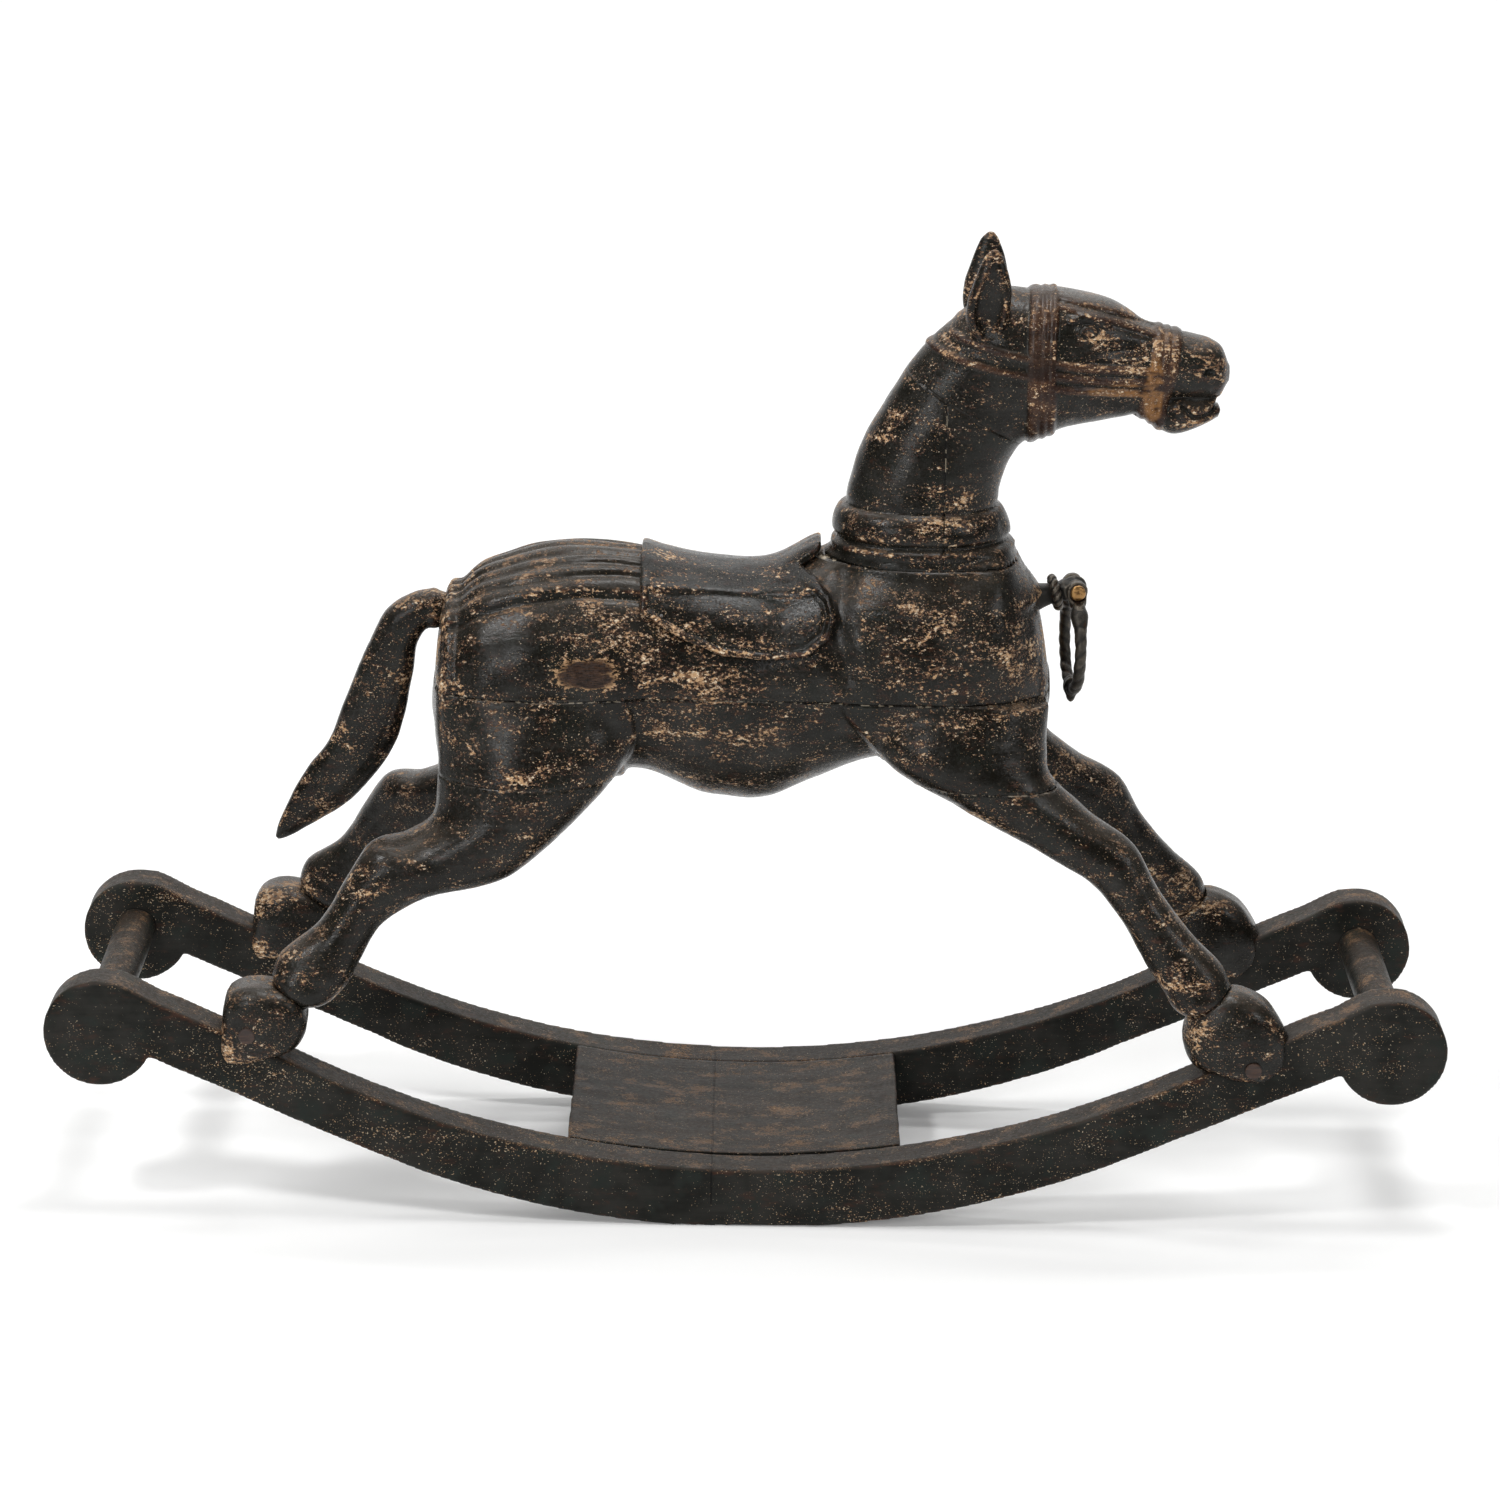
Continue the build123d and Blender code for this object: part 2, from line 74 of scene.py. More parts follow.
rocker_thick = rocker_high[1] - rocker_low[1]
rocker_mid = (rocker_low[1] + rocker_high[1]) / 2
inner_face = -rocker_high[1]
crossbar_radius = (bar_high[2] - bar_low[2]) / 2
crossbar_x = (bar_low[0] + bar_high[0]) / 2
crossbar_z = (bar_low[2] + bar_high[2]) / 2
end_disc_radius = rocker_high[0] - crossbar_x
end_disc_z = rocker_high[2] - end_disc_radius
body_seam_z = corners("body_upper")[0][2]
leg_joint_z = corners("hind_leg_right")[1][2]
neck_joint_z = neck_low[2]
neck_seam_x = neck_high[0]

# ---- driving sizes that the frame doesn't hold, as in the CAD model ---------------------
rocker_radius = 740.0
rocker_flat = 110.0
rocker_depth = 47.0
rocker_top_radius = 780.0
lower_arc_reach = 300.0
upper_arc_reach = 330.0
footboard_thick = 22.0
neck_joint_x = 56.0
poll = (112.0, 668.0)
throat = (212.0, 606.0)
hoof_width = 56.0
plug_radius = 6.0
leg_joint_out = 3.0        # how far outside the barrel its joints with the legs lie

# ---- carving that only the looks have -----------------------------------------------------
cloth_rear = -241.0
cloth_front = -80.0
cloth_edge = 40.5          # degrees down from the spine to the cloth's lower edge
collar_z = 546.0           # middle of the roll round the neck's foot
collar_half = 12.0
collar_ridge_z = 528.5
eye = (254.0, 703.0)
nostril = (348.0, 670.0)
strap_power = 0.6          # below 1 gives a strap or rim a rounder top than a hill's
limb_power = 2.1           # 2 makes a limb's section an oval, and more makes it squarer
edge_reach = 2.6           # how far round a point its surface's bend is measured
swell_reach = 7.0

# ---- grid spacing -------------------------------------------------------------------------
rocker_step = 2.5          # millimetres
body_step = 2.2
board_step = 2.0
tail_step = 1.7
hoof_step = 1.6
saddle_step = 1.5
head_step = 1.25
ear_step = 1.0
iron_step = 0.75
pin_step = 0.6


# ---- grids and fields ---------------------------------------------------------------
class Grid:
    """Evenly spaced points in a box."""

    def __init__(self, low, high, step):
        self.step = step
        first = [np.floor(value / step) for value in low]
        last = [np.ceil(value / step) for value in high]
        axes = [np.arange(a, b + 1) * step for a, b in zip(first, last)]
        self.low = np.array([axis[0] for axis in axes])
        self.x = axes[0][:, None, None].astype(np.float32)
        self.y = axes[1][None, :, None].astype(np.float32)
        self.z = axes[2][None, None, :].astype(np.float32)
        self.shape = tuple(len(axis) for axis in axes)

    def full(self, value=FAR):
        return np.full(self.shape, value, np.float32)


def mirrored(field):
    """A field on the horse's right half, ending at y=0, and its mirror image on the left."""
    return np.concatenate([field, field[:, -2::-1]], axis=1)


def smooth_union(a, b, blend):
    near = np.maximum(blend - np.abs(a - b), 0) / blend
    return np.minimum(a, b) - near * near * (blend / 4)


def smooth_cut(a, b, blend):
    """Where both a and b are inside, with a rounded edge."""
    return -smooth_union(-a, -b, blend)


def hill(value, width):
    """1 where value is 0, falling smoothly to 0 at plus and minus width."""
    near = np.clip(1 - np.abs(value) / width, 0, 1)
    return near * near * (3 - 2 * near)


def step_up(value, start, end):
    """0 up to start, rising smoothly to 1 at end."""
    share = np.clip((value - start) / (end - start), 0, 1)
    return share * share * (3 - 2 * share)


def spline_weights(places):
    """Cubic B-spline weights on a lattice for each place, as first lattice row and matrix."""
    first = int(np.floor(places.min())) - 1
    count = int(np.floor(places.max())) + 3 - first
    base = np.floor(places).astype(int)
    f = places - base
    parts = [(1 - f) ** 3, 3 * f**3 - 6 * f**2 + 4, -3 * f**3 + 3 * f**2 + 3 * f + 1, f**3]
    matrix = np.zeros((len(places), count), np.float32)
    rows = np.arange(len(places))
    for offset, part in enumerate(parts):
        matrix[rows, base - 1 + offset - first] = part / 6
    return first, matrix


def lumps(grid, cells, seed):
    """Smooth random hills between about -1 and 1, with the given cell size along each axis."""
    cells = np.broadcast_to(np.array(cells, float), 3)
    reach = np.array([700.0, 200.0, 850.0])
    counts = (2 * reach / cells).astype(int) + 8
    lattice = np.random.default_rng(seed).uniform(-1, 1, counts).astype(np.float32)
    matrices = []
    window = []
    for axis, points in enumerate((grid.x, grid.y, grid.z)):
        places = points.ravel() / cells[axis] + counts[axis] // 2
        first, matrix = spline_weights(places)
        matrices.append(matrix)
        window.append(slice(first, first + matrix.shape[1]))
    part = lattice[tuple(window)]
    part = np.tensordot(matrices[0], part, axes=(1, 0))
    part = np.einsum("yj,xjk->xyk", matrices[1], part, optimize=True)
    part = np.einsum("zk,xyk->xyz", matrices[2], part, optimize=True)
    return part * 2.4


def dense(rows, count=7):
    """A smooth curve through rows of numbers, with count steps from one row to the next."""
    rows = np.array(rows, float)
    middles = (rows[:, 0:2] + rows[:, 2:4]) / 2 if rows.shape[1] > 3 else rows
    steps = np.maximum(np.linalg.norm(np.diff(middles, axis=0), axis=1), 1.0)
    along = np.concatenate([[0], np.cumsum(steps)])
    slope = np.gradient(rows, along, axis=0)
    out = []
    for i, length in enumerate(steps):
        for t in np.arange(count) / count:
            row = (2 * t**3 - 3 * t**2 + 1) * rows[i] + (3 * t**2 - 2 * t**3) * rows[i + 1]
            row = row + (t**3 - 2 * t**2 + t) * length * slope[i]
            out.append(row + (t**3 - t**2) * length * slope[i + 1])
    out.append(rows[-1])
    return np.array(out)


class Limb:
    """An oval limb through (start, end, thickness, y) stations, as in the CAD model.

    field is its distance field. In the side view, across runs from -1 to 1 over it and half_thick
    is half its thickness."""

    def __init__(self, grid, stations, power=2.0, margin=26.0):
        rows = dense([(*a, *b, thick, y) for a, b, thick, y in stations])
        start, end = rows[:, 0:2], rows[:, 2:4]
        middle = (start + end) / 2
        half = np.linalg.norm(end - start, axis=1) / 2
        chord = (end - start) / (2 * half[:, None])
        normal = np.stack([-chord[:, 1], chord[:, 0]], 1)
        normal *= np.sign((normal * np.gradient(middle, axis=0)).sum(1))[:, None]
        points = np.concatenate([start, end])
        low, high = points.min(0) - margin, points.max(0) + margin
        side = rows[:, 4].max() / 2 + margin
        y_ends = (rows[:, 5].min() - side, rows[:, 5].max() + side)
        wx = slice(*np.searchsorted(grid.x.ravel(), (low[0], high[0])))
        wy = slice(*np.searchsorted(grid.y.ravel(), y_ends))
        wz = slice(*np.searchsorted(grid.z.ravel(), (low[1], high[1])))
        self.field = grid.full()
        self.across = np.zeros((grid.shape[0], 1, grid.shape[2]), np.float32)
        self.half_thick = np.ones_like(self.across)
        xs, zs = grid.x[wx, 0, 0], grid.z[0, 0, wz]
        if len(xs) == 0 or len(zs) == 0 or grid.y[0, wy, 0].size == 0:
            return
        px, pz = np.meshgrid(xs, zs, indexing="ij")
        place = np.stack([px.ravel(), pz.ravel()], 1)
        ahead = place @ normal.T - (middle * normal).sum(1)
        sideways = place @ chord.T - (middle * chord).sum(1)
        before, after = ahead[:, :-1], ahead[:, 1:]
        between = (before >= 0) & (after < 0)
        share = np.where(between, before / np.where(before == after, 1, before - after), 0)
        u = sideways[:, :-1] + share * np.diff(sideways, axis=1)
        u = u / (half[:-1] + share * np.diff(half))
        best = np.where(between, np.abs(u), np.inf).argmin(1)
        pick = (np.arange(len(place)), best)
        found = between.any(1)
        from_start = np.linalg.norm(place - middle[0], axis=1)
        beyond = from_start > np.linalg.norm(place - middle[-1], axis=1)
        last = len(rows) - 1
        index = np.where(found, best + share[pick], np.where(beyond, last, 0))
        at_ends = np.where(beyond, sideways[:, -1] / half[-1], sideways[:, 0] / half[0])
        u = np.where(found, u[pick], at_ends)
        axial = np.where(found, 0, np.where(beyond, ahead[:, -1], -ahead[:, 0]))
        shape = px.shape

        def row(column):
            return np.interp(index, np.arange(last + 1), column).reshape(shape)[:, None, :]

        u = u.reshape(shape)[:, None, :].astype(np.float32)
        axial = np.maximum(axial, 0).reshape(shape)[:, None, :].astype(np.float32)
        length = row(half).astype(np.float32)
        thick = row(rows[:, 4] / 2).astype(np.float32)
        v = np.abs(grid.y[:, wy] - row(rows[:, 5]).astype(np.float32)) / thick
        u_size = np.abs(u)
        radius = (u_size**power + v**power + 1e-6) ** (1 / power)
        slope = np.sqrt((u_size ** (power - 1) / length) ** 2 + (v ** (power - 1) / thick) ** 2)
        slope = np.maximum(slope / radius ** (power - 1), 1 / (1.5 * np.maximum(length, thick)))
        distance = (radius - 1) / slope
        capped = np.sqrt(np.maximum(distance, 0) ** 2 + axial**2)
        self.field[wx, wy, wz] = np.where(axial > 0, capped, distance)
        self.across[wx, :, wz] = u
        self.half_thick[wx, :, wz] = thick


def polygon(grid, points, round_steps=0):
    """Signed distance in the side view from a closed outline, or a smooth one with round_steps."""
    points = np.array(points, float)
    if round_steps:
        count = len(points)
        again = np.concatenate([points[-2:], points, points[:3]])
        points = dense(again, round_steps)[2 * round_steps:(2 + count) * round_steps]
    x, z = grid.x[:, 0, :], grid.z[0, 0, :][None, :]
    distance = np.full((grid.shape[0], grid.shape[2]), 1e9, np.float32)
    inside = np.zeros(distance.shape, bool)
    for a, b in zip(points, np.roll(points, -1, axis=0)):
        distance = np.minimum(distance, segment_distance(x, z, a, b))
        crosses = (a[1] > z) != (b[1] > z)
        if a[1] != b[1]:
            inside ^= crosses & (x < (b[0] - a[0]) * (z - a[1]) / (b[1] - a[1]) + a[0])
    return np.where(inside, -distance, distance)[:, None, :]


def segment_distance(x, z, a, b):
    run, rise = b[0] - a[0], b[1] - a[1]
    length = max(run * run + rise * rise, 1e-9)
    share = np.clip(((x - a[0]) * run + (z - a[1]) * rise) / length, 0, 1)
    return np.hypot(x - a[0] - share * run, z - a[1] - share * rise)


def path_distance(grid, points, steps=6):
    """Distance in the side view from a smooth open path through the points."""
    path = dense(points, steps) if len(points) > 2 else np.array(points, float)
    x, z = grid.x[:, 0, :], grid.z[0, 0, :][None, :]
    distance = np.full((grid.shape[0], grid.shape[2]), 1e9, np.float32)
    for a, b in zip(path[:-1], path[1:]):
        distance = np.minimum(distance, segment_distance(x, z, a, b))
    return distance[:, None, :]


def line_side(grid, a, b):
    """Signed distance in the side view from the line through a and b, above 0 on its upper side."""
    run, rise = b[0] - a[0], b[1] - a[1]
    length = sqrt(run * run + rise * rise)
    sign = 1 if run > 0 else -1
    return sign * ((grid.z - a[1]) * run - (grid.x - a[0]) * rise) / length


def rounded_plate(outline, across, edge):
    """A plate with rounded edges, from its outline's distance and the distance across it."""
    a, b = outline + edge, across + edge
    outside = np.sqrt(np.maximum(a, 0) ** 2 + np.maximum(b, 0) ** 2)
    return outside + np.minimum(np.maximum(a, b), 0) - edge


# ---- meshes from fields -----------------------------------------------------------------
CUBE = [(i, j, k) for i in (0, 1) for j in (0, 1) for k in (0, 1)]


def surface_net(field):
    """Vertices in grid units and quads of the surface where a field is zero."""
    inside = field < 0
    shape = np.array(field.shape) - 1
    count = np.zeros(shape, np.int8)
    for i, j, k in CUBE:
        count += inside[i:i + shape[0], j:j + shape[1], k:k + shape[2]]
    cells = np.argwhere((count > 0) & (count < 8))
    number = np.full(shape, -1, np.int64)
    number[tuple(cells.T)] = np.arange(len(cells))
    total = np.zeros((len(cells), 3))
    hits = np.zeros(len(cells))
    for corner in CUBE:
        for axis in range(3):
            if corner[axis] == 0:
                other = list(corner)
                other[axis] = 1
                fa = field[tuple((cells + corner).T)]
                fb = field[tuple((cells + other).T)]
                cut = (fa < 0) != (fb < 0)
                place = np.repeat(np.array(corner, float)[None], len(cells), axis=0)
                place[:, axis] = fa / np.where(fa == fb, 1, fa - fb)
                total += place * cut[:, None]
                hits += cut
    vertices = cells + total / hits[:, None]
    quads = []
    for axis in range(3):
        a = inside[tuple(slice(None, -1) if n == axis else slice(1, -1) for n in range(3))]
        b = inside[tuple(slice(1, None) if n == axis else slice(1, -1) for n in range(3))]
        edges = np.argwhere(a != b)
        outward = a[tuple(edges.T)]
        offset = np.array([0 if n == axis else 1 for n in range(3)])
        edges = edges + offset
        second, third = (axis + 1) % 3, (axis + 2) % 3
        ring = []
        for back_second, back_third in ((0, 0), (1, 0), (1, 1), (0, 1)):
            cell = edges.copy()
            cell[:, second] -= back_second
            cell[:, third] -= back_third
            ring.append(number[tuple(cell.T)])
        ring = np.stack(ring, 1)
        quads.append(np.where(outward[:, None], ring, ring[:, ::-1]))
    return vertices, np.concatenate(quads)


def sample(field, places):
    """A field's value at places in grid units."""
    limit = np.array(field.shape) - 1.001
    places = np.clip(places, 0, limit)
    base = places.astype(int)
    f = places - base
    value = 0
    for corner in CUBE:
        weight = np.prod(np.where(corner, f, 1 - f), axis=1)
        value = value + weight * field[tuple((base + corner).T)]
    return value


def slope_at(field, places):
    """Gradient of a field at places, in its units for one grid step."""
    out = np.zeros_like(places)
    for axis in range(3):
        shift = np.zeros(3)
        shift[axis] = 0.5
        out[:, axis] = sample(field, places + shift) - sample(field, places - shift)
    return out


def settle(vertices, quads, fields, step):
    """Even the net out and pull it on to the fields' surfaces, with sharp edges where two meet."""
    ends = np.concatenate([quads[:, [0, 1]], quads[:, [1, 2]], quads[:, [2, 3]], quads[:, [3, 0]]])
    ends = np.concatenate([ends, ends[:, ::-1]])
    count = np.bincount(ends[:, 0], minlength=len(vertices))
    for _ in range(2):
        pulled = [np.bincount(ends[:, 0], vertices[ends[:, 1], n], len(vertices)) for n in range(3)]
        vertices = 0.5 * vertices + 0.5 * np.stack(pulled, 1) / count[:, None]
        for _ in range(2):
            values = np.stack([sample(field, vertices) for field in fields])
            near = values > values.max(0) - 0.55 * step
            for field, close in zip(fields, near):
                chosen = np.flatnonzero(close)
                slope = slope_at(field, vertices[chosen])
                value = sample(field, vertices[chosen])
                move = value / np.maximum((slope**2).sum(1), 0.04 * step * step)
                move = np.clip(move, -1.2 / step, 1.2 / step)
                vertices[chosen] -= slope * move[:, None]
    return vertices


def bend_at(field, places, radius):
    """How convex (above 0) or hollow (below 0) a surface is over a radius in grid units."""
    total = 0
    for axis in range(3):
        shift = np.zeros(3)
        shift[axis] = radius
        total = total + sample(field, places + shift) + sample(field, places - shift)
    return (total / 6 - sample(field, places)) / radius


def carve(name, grid, fields, material, mirror=False, strap=None):
    """A mesh object in metres of the space that all the fields have inside them.

    strap is 1 where a bridle strap is carved."""
    fields = [np.broadcast_to(field, fields[0].shape).astype(np.float32) for field in fields]
    whole = np.maximum.reduce(fields)
    whole = np.pad(whole, 1, constant_values=FAR)
    vertices, quads = surface_net(whole)
    vertices = vertices - 1
    vertices = settle(vertices, quads, fields, grid.step)
    outer = fields[0]
    bend = bend_at(outer, vertices, edge_reach / grid.step) / grid.step
    broad = bend_at(outer, vertices, swell_reach / grid.step) / grid.step
    places = vertices * grid.step + grid.low
    if mirror:
        places = places * np.array([1, -1, 1])
        quads = quads[:, ::-1]
    mesh = bpy.data.meshes.new(name)
    mesh.vertices.add(len(places))
    mesh.vertices.foreach_set("co", (places * MM).astype(np.float32).ravel())
    mesh.loops.add(4 * len(quads))
    mesh.loops.foreach_set("vertex_index", quads.astype(np.int32).ravel())
    mesh.polygons.add(len(quads))
    mesh.polygons.foreach_set("loop_start", np.arange(len(quads), dtype=np.int32) * 4)
    if len(fields) > 1:
        centres = vertices[quads].mean(1)
        values = np.stack([sample(field, centres) for field in fields])
        flat = values.argmax(0) > 0
    else:
        flat = np.zeros(len(quads), bool)
    mesh.polygons.foreach_set("use_smooth", ~flat)
    made = [("bend", bend), ("broad", broad)]
    if strap is not None:
        made.append(("strap", sample(strap, vertices)))
    for key, values in made:
        stored = mesh.attributes.new(key, "FLOAT", "POINT")
        stored.data.foreach_set("value", values.astype(np.float32))
    mesh.update()
    mesh.validate()
    piece = bpy.data.objects.new(name, mesh)
    bpy.context.scene.collection.objects.link(piece)
    mesh.materials.append(material)
    return piece


def place(piece, node, slot, body="horse"):
    """The piece stands for a CAD node and moves with its body."""
    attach(piece, body)
    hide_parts(node)


def make(how, node, grid, fields, material, slot="horse_paint", body="horse", mirror=False,
         strap=None):
    """Carve the piece that stands for a CAD node."""
    place(carve(f"{how}_{node}", grid, fields, material, mirror, strap), node, slot, body)


def make_pair(how, node, grid, fields, material):
    """A piece of the horse on its right, and its mirror image on the left."""
    for side in ("right", "left"):
        make(how, f"{node}_{side}", grid, fields, material, mirror=side == "left")


# ---- the horse's stations: (rear or lower point, front or upper point, thickness, y) -------
def upright(rows):
    return [((x, low), (x, high), width, 0.0) for x, low, high, width in rows]


BARREL = upright([
    (-250, 384, 408, 44), (-246, 348, 452, 104), (-226, 330, 486, 148), (-190, 322, 507, 170),
    (-140, 326, 517, 172), (-90, 334, 514, 160), (-30, 319, 503, 152), (10, 317, 503, 154),
    (60, 338, 520, 160), (110, 350, 525, 168), (160, 352, 530, 166), (194, 355, 535, 152),
    (212, 360, 504, 130), (224, 368, 478, 104), (231, 382, 444, 76), (234, 398, 424, 40),
])
HIND_LEG = [
    ((-243, 410), (-100, 420), 76, -50), ((-244, 360), (-93, 370), 94, -56),
    ((-247, 318), (-132, 320), 88, -66), ((-268, 304), (-184, 274), 72, -76),
    ((-298, 296), (-258, 253), 54, -87), ((-315, 269), (-287, 234), 44, -94),
    ((-336, 237), (-302, 209), 42, -102), ((-366, 212), (-314, 188), 46, -110),
    ((-369, 192), (-334, 174), 41, -113), ((-366, 184), (-345, 173), 26, -114),
]
FORE_LEG = [
    ((110, 420), (232, 410), 66, -48), ((98, 374), (232, 376), 84, -56),
    ((166, 330), (236, 356), 68, -66), ((222, 301), (264, 331), 54, -74),
    ((272, 273), (302, 305), 44, -86), ((293, 247), (320, 273), 40, -93),
    ((314, 211), (346, 241), 42, -101), ((326, 196), (376, 208), 46, -110),
    ((338, 180), (375, 192), 41, -113), ((347, 176), (368, 185), 26, -114),
]
NECK = [
    ((50, 488), (226, 488), 150, 0), ((60, 514), (210, 512), 118, 0),
    ((69, 552), (191, 552), 94, 0), ((83, 605), (197, 592), 84, 0),
    ((106, 648), (212, 616), 78, 0), ((136, 690), (232, 650), 74, 0),
    ((160, 710), (246, 668), 66, 0),
]
SKULL = upright([
    (158, 640, 706, 60), (174, 628, 722, 70), (190, 618, 729, 79), (212, 612, 728, 84),
    (242, 621, 728, 82), (272, 628, 721, 68), (296, 633, 706, 56), (320, 642, 698, 50),
    (340, 645, 694, 49), (352, 647, 690, 45), (361, 651, 682, 34), (365, 658, 672, 14),
])
CHIN = upright([
    (286, 640, 656, 36), (302, 629, 652, 42), (322, 617, 651, 44), (338, 620, 650, 41),
    (350, 626, 646, 34), (358, 631, 642, 20),
])
TAIL = [
    ((-236, 450), (-234, 476), 22, 0), ((-254, 450), (-256, 480), 29, 0),
    ((-262, 440), (-281, 469), 31, 0), ((-267, 412), (-307, 424), 30, 0),
    ((-274, 378), (-320, 392), 28, 0), ((-286, 345), (-334, 356), 25, 0),
    ((-318, 306), (-351, 332), 22, 0), ((-352, 283), (-366, 306), 17, 0),
    ((-370, 273), (-376, 282), 9, 0), ((-375, 271), (-378, 274), 3, 0),
]
EAR = [
    ((165, 692), (188, 692), 17, -26), ((160, 710), (192, 710), 21, -30),
    ((161, 727), (194, 729), 19, -33), ((166, 743), (192, 745), 14, -34),
    ((170, 755), (188, 756), 10, -34), ((173, 761), (186, 761), 8, -34),
    ((177, 765), (183, 765), 4, -34),
]
EAR_HOLLOW = [
    ((172, 698), (184, 698), 14, -38), ((165, 712), (188, 712), 23, -43),
    ((165, 727), (190, 728), 24, -46), ((170, 742), (188, 743), 18, -46),
    ((177, 754), (184, 755), 8, -43),
]
HIND_HOOF = [(-403, 187), (-397, 191), (-366, 192), (-352, 187), (-344, 174), (-344, 156),
             (-353, 143), (-368, 136), (-392, 130), (-407, 128), (-411, 134), (-409, 160)]
FORE_HOOF = [(344, 176), (344, 150), (352, 137), (366, 132), (390, 124), (410, 120), (423, 124),
             (430, 136), (428, 152), (418, 174), (404, 191), (384, 201), (360, 197)]
SEAT_FOLD = [(-90, 502), (-78, 501), (-36, 498.5), (5, 496.5), (40, 499), (60, 505)]
SADDLE_SIDE = [(-87, 575), (-87, 484), (-71, 474), (-53, 464), (-23, 452), (14, 449), (43, 454),
               (60, 468), (65, 485), (61, 498), (50, 507), (36, 513), (22, 518), (18, 575)]

# carved lines in the side view, which run round the horse at one place or along its side
CROWN_BAND = [(221, 740), (219, 700), (219, 660), (222, 600)]
NOSE_BAND = [(319, 712), (315, 688), (313, 670), (307, 645), (303, 622)]
CHEEK_STRAPS = [
    [(228, 679), (266, 674), (308, 671)], [(228, 670), (266, 665), (308, 661)],
    [(228, 660), (266, 656), (303, 653)],
]
NECK_STRAPS = [
    [(150, 697), (183, 688), (212, 682)], [(126, 689), (152, 681), (183, 673), (216, 668)],
]
FACE_STRAPS = [
    [(229, 727), (270, 718), (312, 703)], [(229, 722), (270, 711), (312, 696)],
]
BROW = [(241, 712), (254, 714), (268, 708)]
EYELID = [(244, 702), (250, 697), (260, 698), (265, 703)]
MOUTH = [(367, 650), (357, 641), (348, 635), (338, 634), (329, 641)]
THIGH_EDGE = [(-101, 424), (-93, 404), (-90, 384), (-99, 360)]
SHOULDER_EDGE = [(70, 424), (74, 406), (88, 388), (104, 366)]
CHEST_FOLD = [(192, 545), (206, 521), (217, 498)]
SHOULDER_HOLLOW = [(74, 512), (67, 490), (66, 470), (74, 440)]


def bridle_relief(grid):
    """How far the straps stand off the head."""
    crown = path_distance(grid, CROWN_BAND)
    crown_line = side_of_path(grid, CROWN_BAND)
    nose = path_distance(grid, NOSE_BAND)
    nose_line = side_of_path(grid, NOSE_BAND)
    relief = 1.5 * step_up(-crown, -11.5, -10.0)
    for middle, width in ((-6.0, 4.8), (1.5, 3.0), (7.6, 3.8)):
        relief = relief + 1.5 * hill(crown_line - middle, width) ** 0.5 * (crown < 12)
    relief = np.maximum(relief, 1.3 * step_up(-nose, -10.5, -9.0))
    for middle, width in ((-6.4, 3.8), (0.3, 3.2), (6.6, 3.8)):
        ridge = 1.6 * hill(nose_line - middle, width) ** 0.5 * (nose < 11)
        relief = np.where(nose < 11, np.maximum(relief, 1.2 + ridge), relief)
    straps = ((CHEEK_STRAPS, 2.4, 4.4), (NECK_STRAPS, 2.0, 4.0), (FACE_STRAPS, 2.0, 3.4))
    for paths, height, half in straps:
        for path in paths:
            strap = hill(path_distance(grid, path), half) ** strap_power
            relief = np.maximum(relief, height * strap)
    return relief


def side_of_path(grid, points):
    """Distance from a path that runs downwards, negative behind it and positive ahead."""
    points = np.array(points, float)
    order = points[:, 1].argsort()
    along = np.interp(grid.z[0, 0, :], points[order, 1], points[order, 0])
    return grid.x - along[None, None, :]


def carved_head(grid, skull):
    """The skull and chin with jaw muscle, brow, eye, nostril and mouth."""
    def oval(centre, long, high):
        return np.hypot((grid.x - centre[0]) / long, (grid.z - centre[1]) / high)

    side = np.abs(grid.y)
    cheek_side = step_up(side, 16, 28)
    nose_side = step_up(side, 6, 16)
    head = smooth_union(skull, Limb(grid, CHIN, power=2.2).field, 5)
    head = head - 3.0 * hill(oval((232, 650), 30, 28), 1.0) * step_up(side, 15, 35)
    head = head + 2.6 * hill(oval((283, 688), 30, 9), 1.0) * step_up(side, 14, 28)
    head = head - 2.6 * hill(path_distance(grid, BROW), 5.0) * cheek_side
    head = head + 3.2 * hill(oval(eye, 10.5, 6.0), 1.25) * cheek_side
    head = head - 3.6 * np.sqrt(np.clip(1 - oval(eye, 7.0, 4.4) ** 2, 0, 1)) * cheek_side
    head = head - 1.2 * hill(path_distance(grid, EYELID), 2.2) * cheek_side
    head = head - 2.2 * hill(oval(nostril, 6.5, 5.0), 1.9) * nose_side
    head = head + 5.5 * hill(oval(nostril, 6.5, 5.0), 1.0) * nose_side
    head = head - 1.6 * hill(oval((346, 682), 18, 14), 1.0)
    mouth = path_distance(grid, MOUTH)
    head = head + 3.4 * hill(mouth, 2.6) + 4.5 * hill(oval((368, 650), 1, 1), 10)
    return head - 1.2 * hill(mouth - 4.2, 2.8)


